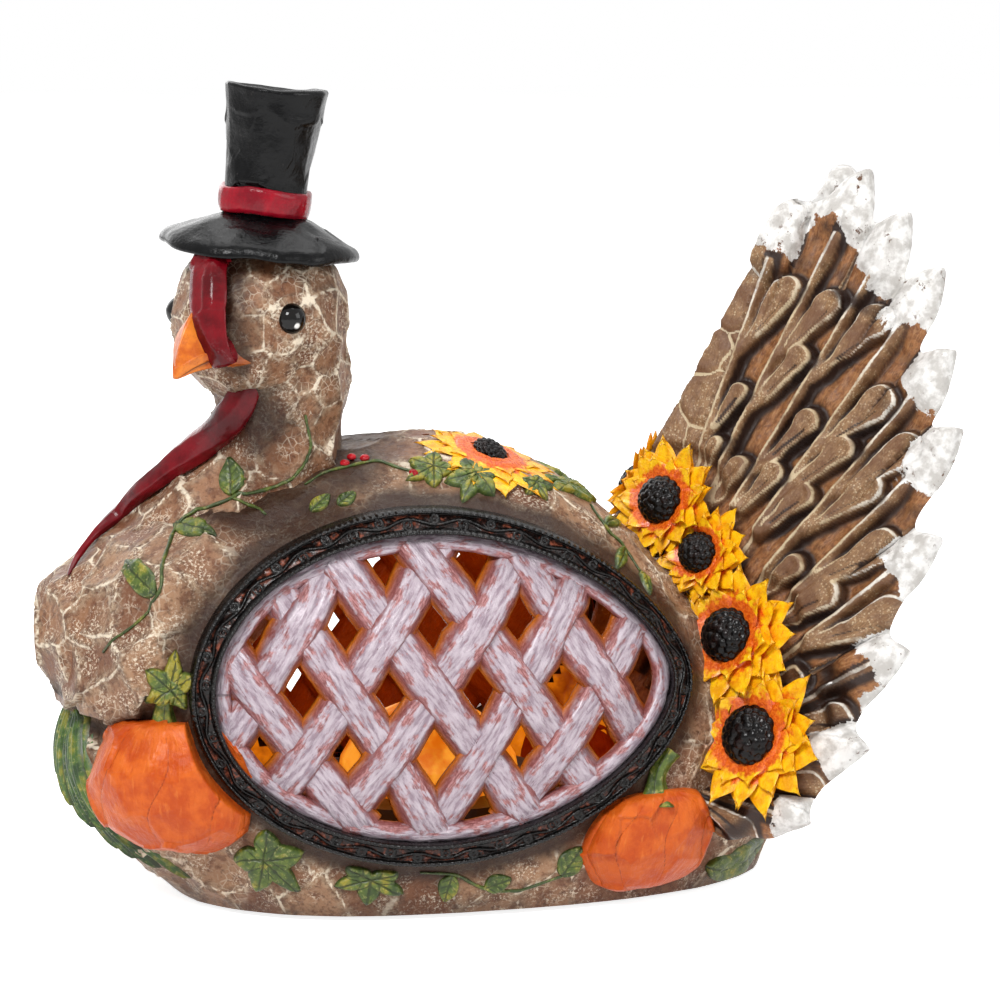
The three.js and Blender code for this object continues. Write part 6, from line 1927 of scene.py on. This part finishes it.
def plastic(name, dark, light, roughness, grain_size=0.8, **values):
    p = Paint(name, roughness, **values)
    grain, patch = p.noise(grain_size, 4.0), p.noise(12.0, 3.0)
    cloud = p.plus(p.times(grain, 0.5), p.times(patch, 0.5))
    base = p.mix(p.step(cloud, 0.38, 0.62), dark, light)
    return p.finish(base, p.bump(grain, 0.08), p.step(patch, 0.35, 0.65, roughness * 0.85, roughness * 1.15))


def glow(name, dark, light, strength):
    p = Paint(name, 0.35)
    cloud = p.noise(9.0, 3.0)
    base = p.mix(p.step(cloud, 0.35, 0.65), dark, light)
    p.shader.inputs["Emission Strength"].default_value = strength
    return p.finish(base, p.bump(p.noise(1.0), 0.1), Emission_Color=base)


def dress(material, *names, soften=0.35):
    for name in names:
        node = nodes[name]
        node.data.materials.clear()
        node.data.materials.append(material)
        if soften:
            tool = node.modifiers.new("soften", "BEVEL")
            tool.width = soften * 0.001
            tool.segments = 2
            tool.limit_method = "ANGLE"
            tool.angle_limit = math.radians(40)


dress(plastic("base_brown", "2a1a10", "43301f", 0.7), "base_plate")
dress(plastic("rubber_grey", "1d1d1d", "2e2e2e", 0.85), *[f"foot_pad_{k}" for k in (1, 2, 3, 4)], "grip_ring")
dress(plastic("housing_black", "141416", "232326", 0.45), "light_housing", "battery_door")
dress(plastic("board_green", "123d22", "1f6a3a", 0.4), "led_board")
dress(glow("led_warm", "ffc066", "ffe6b0", 3.0), "led", soften=0)
dress(plastic("cell_grey", "4a4c50", "8d9096", 0.3, 2.0, Metallic=0.7), "cell_near", "cell_far")
dress(plastic("contact_steel", "8d8d8a", "c4c4c0", 0.28, 0.6, Metallic=1.0),
      "contact_bridge", "contact_plus", "contact_minus", soften=0.1)
dress(plastic("lead_red", "7d0d0d", "b51c1c", 0.5), "lead_red", soften=0)
dress(plastic("lead_black", "0c0c0c", "1e1e1e", 0.5), "lead_black", soften=0)
dress(plastic("switch_white", "c2c0ba", "e2e0da", 0.4), "switch_slider")
dress(glow("diffuser_amber", "c8650c", "f0a030", 0.9), "diffuser", soften=0)


# Stage: a pale floor, soft lights and the photo's camera

FLOOR_HALF = 6000.0


def sees_white(tree):
    """One for camera, glossy and transmitted rays, which meet the white background, and zero for others."""
    rays = tree.nodes.new("ShaderNodeLightPath")
    total = rays.outputs["Is Camera Ray"]
    for kind in ("Is Glossy Ray", "Is Transmission Ray"):
        either = tree.nodes.new("ShaderNodeMath")
        either.operation = "MAXIMUM"
        tree.links.new(total, either.inputs[0])
        tree.links.new(rays.outputs[kind], either.inputs[1])
        total = either.outputs[0]
    return total


def stage():
    corners = FLOOR_HALF * np.array([[-1, -1, 0], [1, -1, 0], [1, 1, 0], [-1, 1, 0]], float)
    floor = bpy.data.objects.new("floor", mesh_of("floor", corners, np.array([[0, 1, 2, 3]])))
    bpy.context.scene.collection.objects.link(floor)
    p = Paint("floor_white", 0.9, Specular_IOR_Level=0.0)
    cloud = p.mix(p.noise(400.0), "f4f4f4", "f8f8f8")
    bright = p.times(sees_white(p.tree), 0.92)
    floor.data.materials.append(p.finish(cloud, Emission_Color=cloud, Emission_Strength=bright))
    for name, place, size, power in (
        ("key", (-0.7, -1.1, 1.3), 0.55, 28.0),
        ("fill", (1.2, -0.9, 0.7), 0.8, 8.0),
        ("top", (0.1, 0.3, 1.6), 1.2, 13.0),
        ("back", (-0.5, 1.4, 0.8), 1.2, 8.0),
    ):
        lamp = bpy.data.lights.new(name, "AREA")
        lamp.size = size
        lamp.energy = power
        made = bpy.data.objects.new(name, lamp)
        made.location = place
        made.rotation_mode = "QUATERNION"
        made.rotation_quaternion = (Vector((0, 0, 0.1)) - Vector(place)).to_track_quat("-Z", "Y")
        bpy.context.scene.collection.objects.link(made)
    world = bpy.data.worlds.new("studio")
    bpy.context.scene.world = world
    world.use_nodes = True
    tree = world.node_tree
    plain = tree.nodes["Background"]
    plain.inputs["Color"].default_value = (1, 1, 1, 1)
    plain.inputs["Strength"].default_value = 0.16
    seen = tree.nodes.new("ShaderNodeBackground")
    seen.inputs["Color"].default_value = (1, 1, 1, 1)
    seen.inputs["Strength"].default_value = 1.0
    blend = tree.nodes.new("ShaderNodeMixShader")
    tree.links.new(sees_white(tree), blend.inputs[0])
    tree.links.new(plain.outputs[0], blend.inputs[1])
    tree.links.new(seen.outputs[0], blend.inputs[2])
    tree.links.new(blend.outputs[0], tree.nodes["World Output"].inputs[0])
    lens = bpy.data.cameras.new("camera")
    lens.lens = LENS
    lens.sensor_width = SENSOR
    camera = bpy.data.objects.new("camera", lens)
    place = (EYE_POINT + SHIFT) * 0.001
    target = (LOOK_AT + SHIFT) * 0.001
    camera.location = place
    camera.rotation_mode = "QUATERNION"
    camera.rotation_quaternion = Vector(target - place).to_track_quat("-Z", "Y")
    bpy.context.scene.collection.objects.link(camera)
    bpy.context.scene.camera = camera
    bpy.context.scene.view_settings.view_transform = "Standard"


stage()
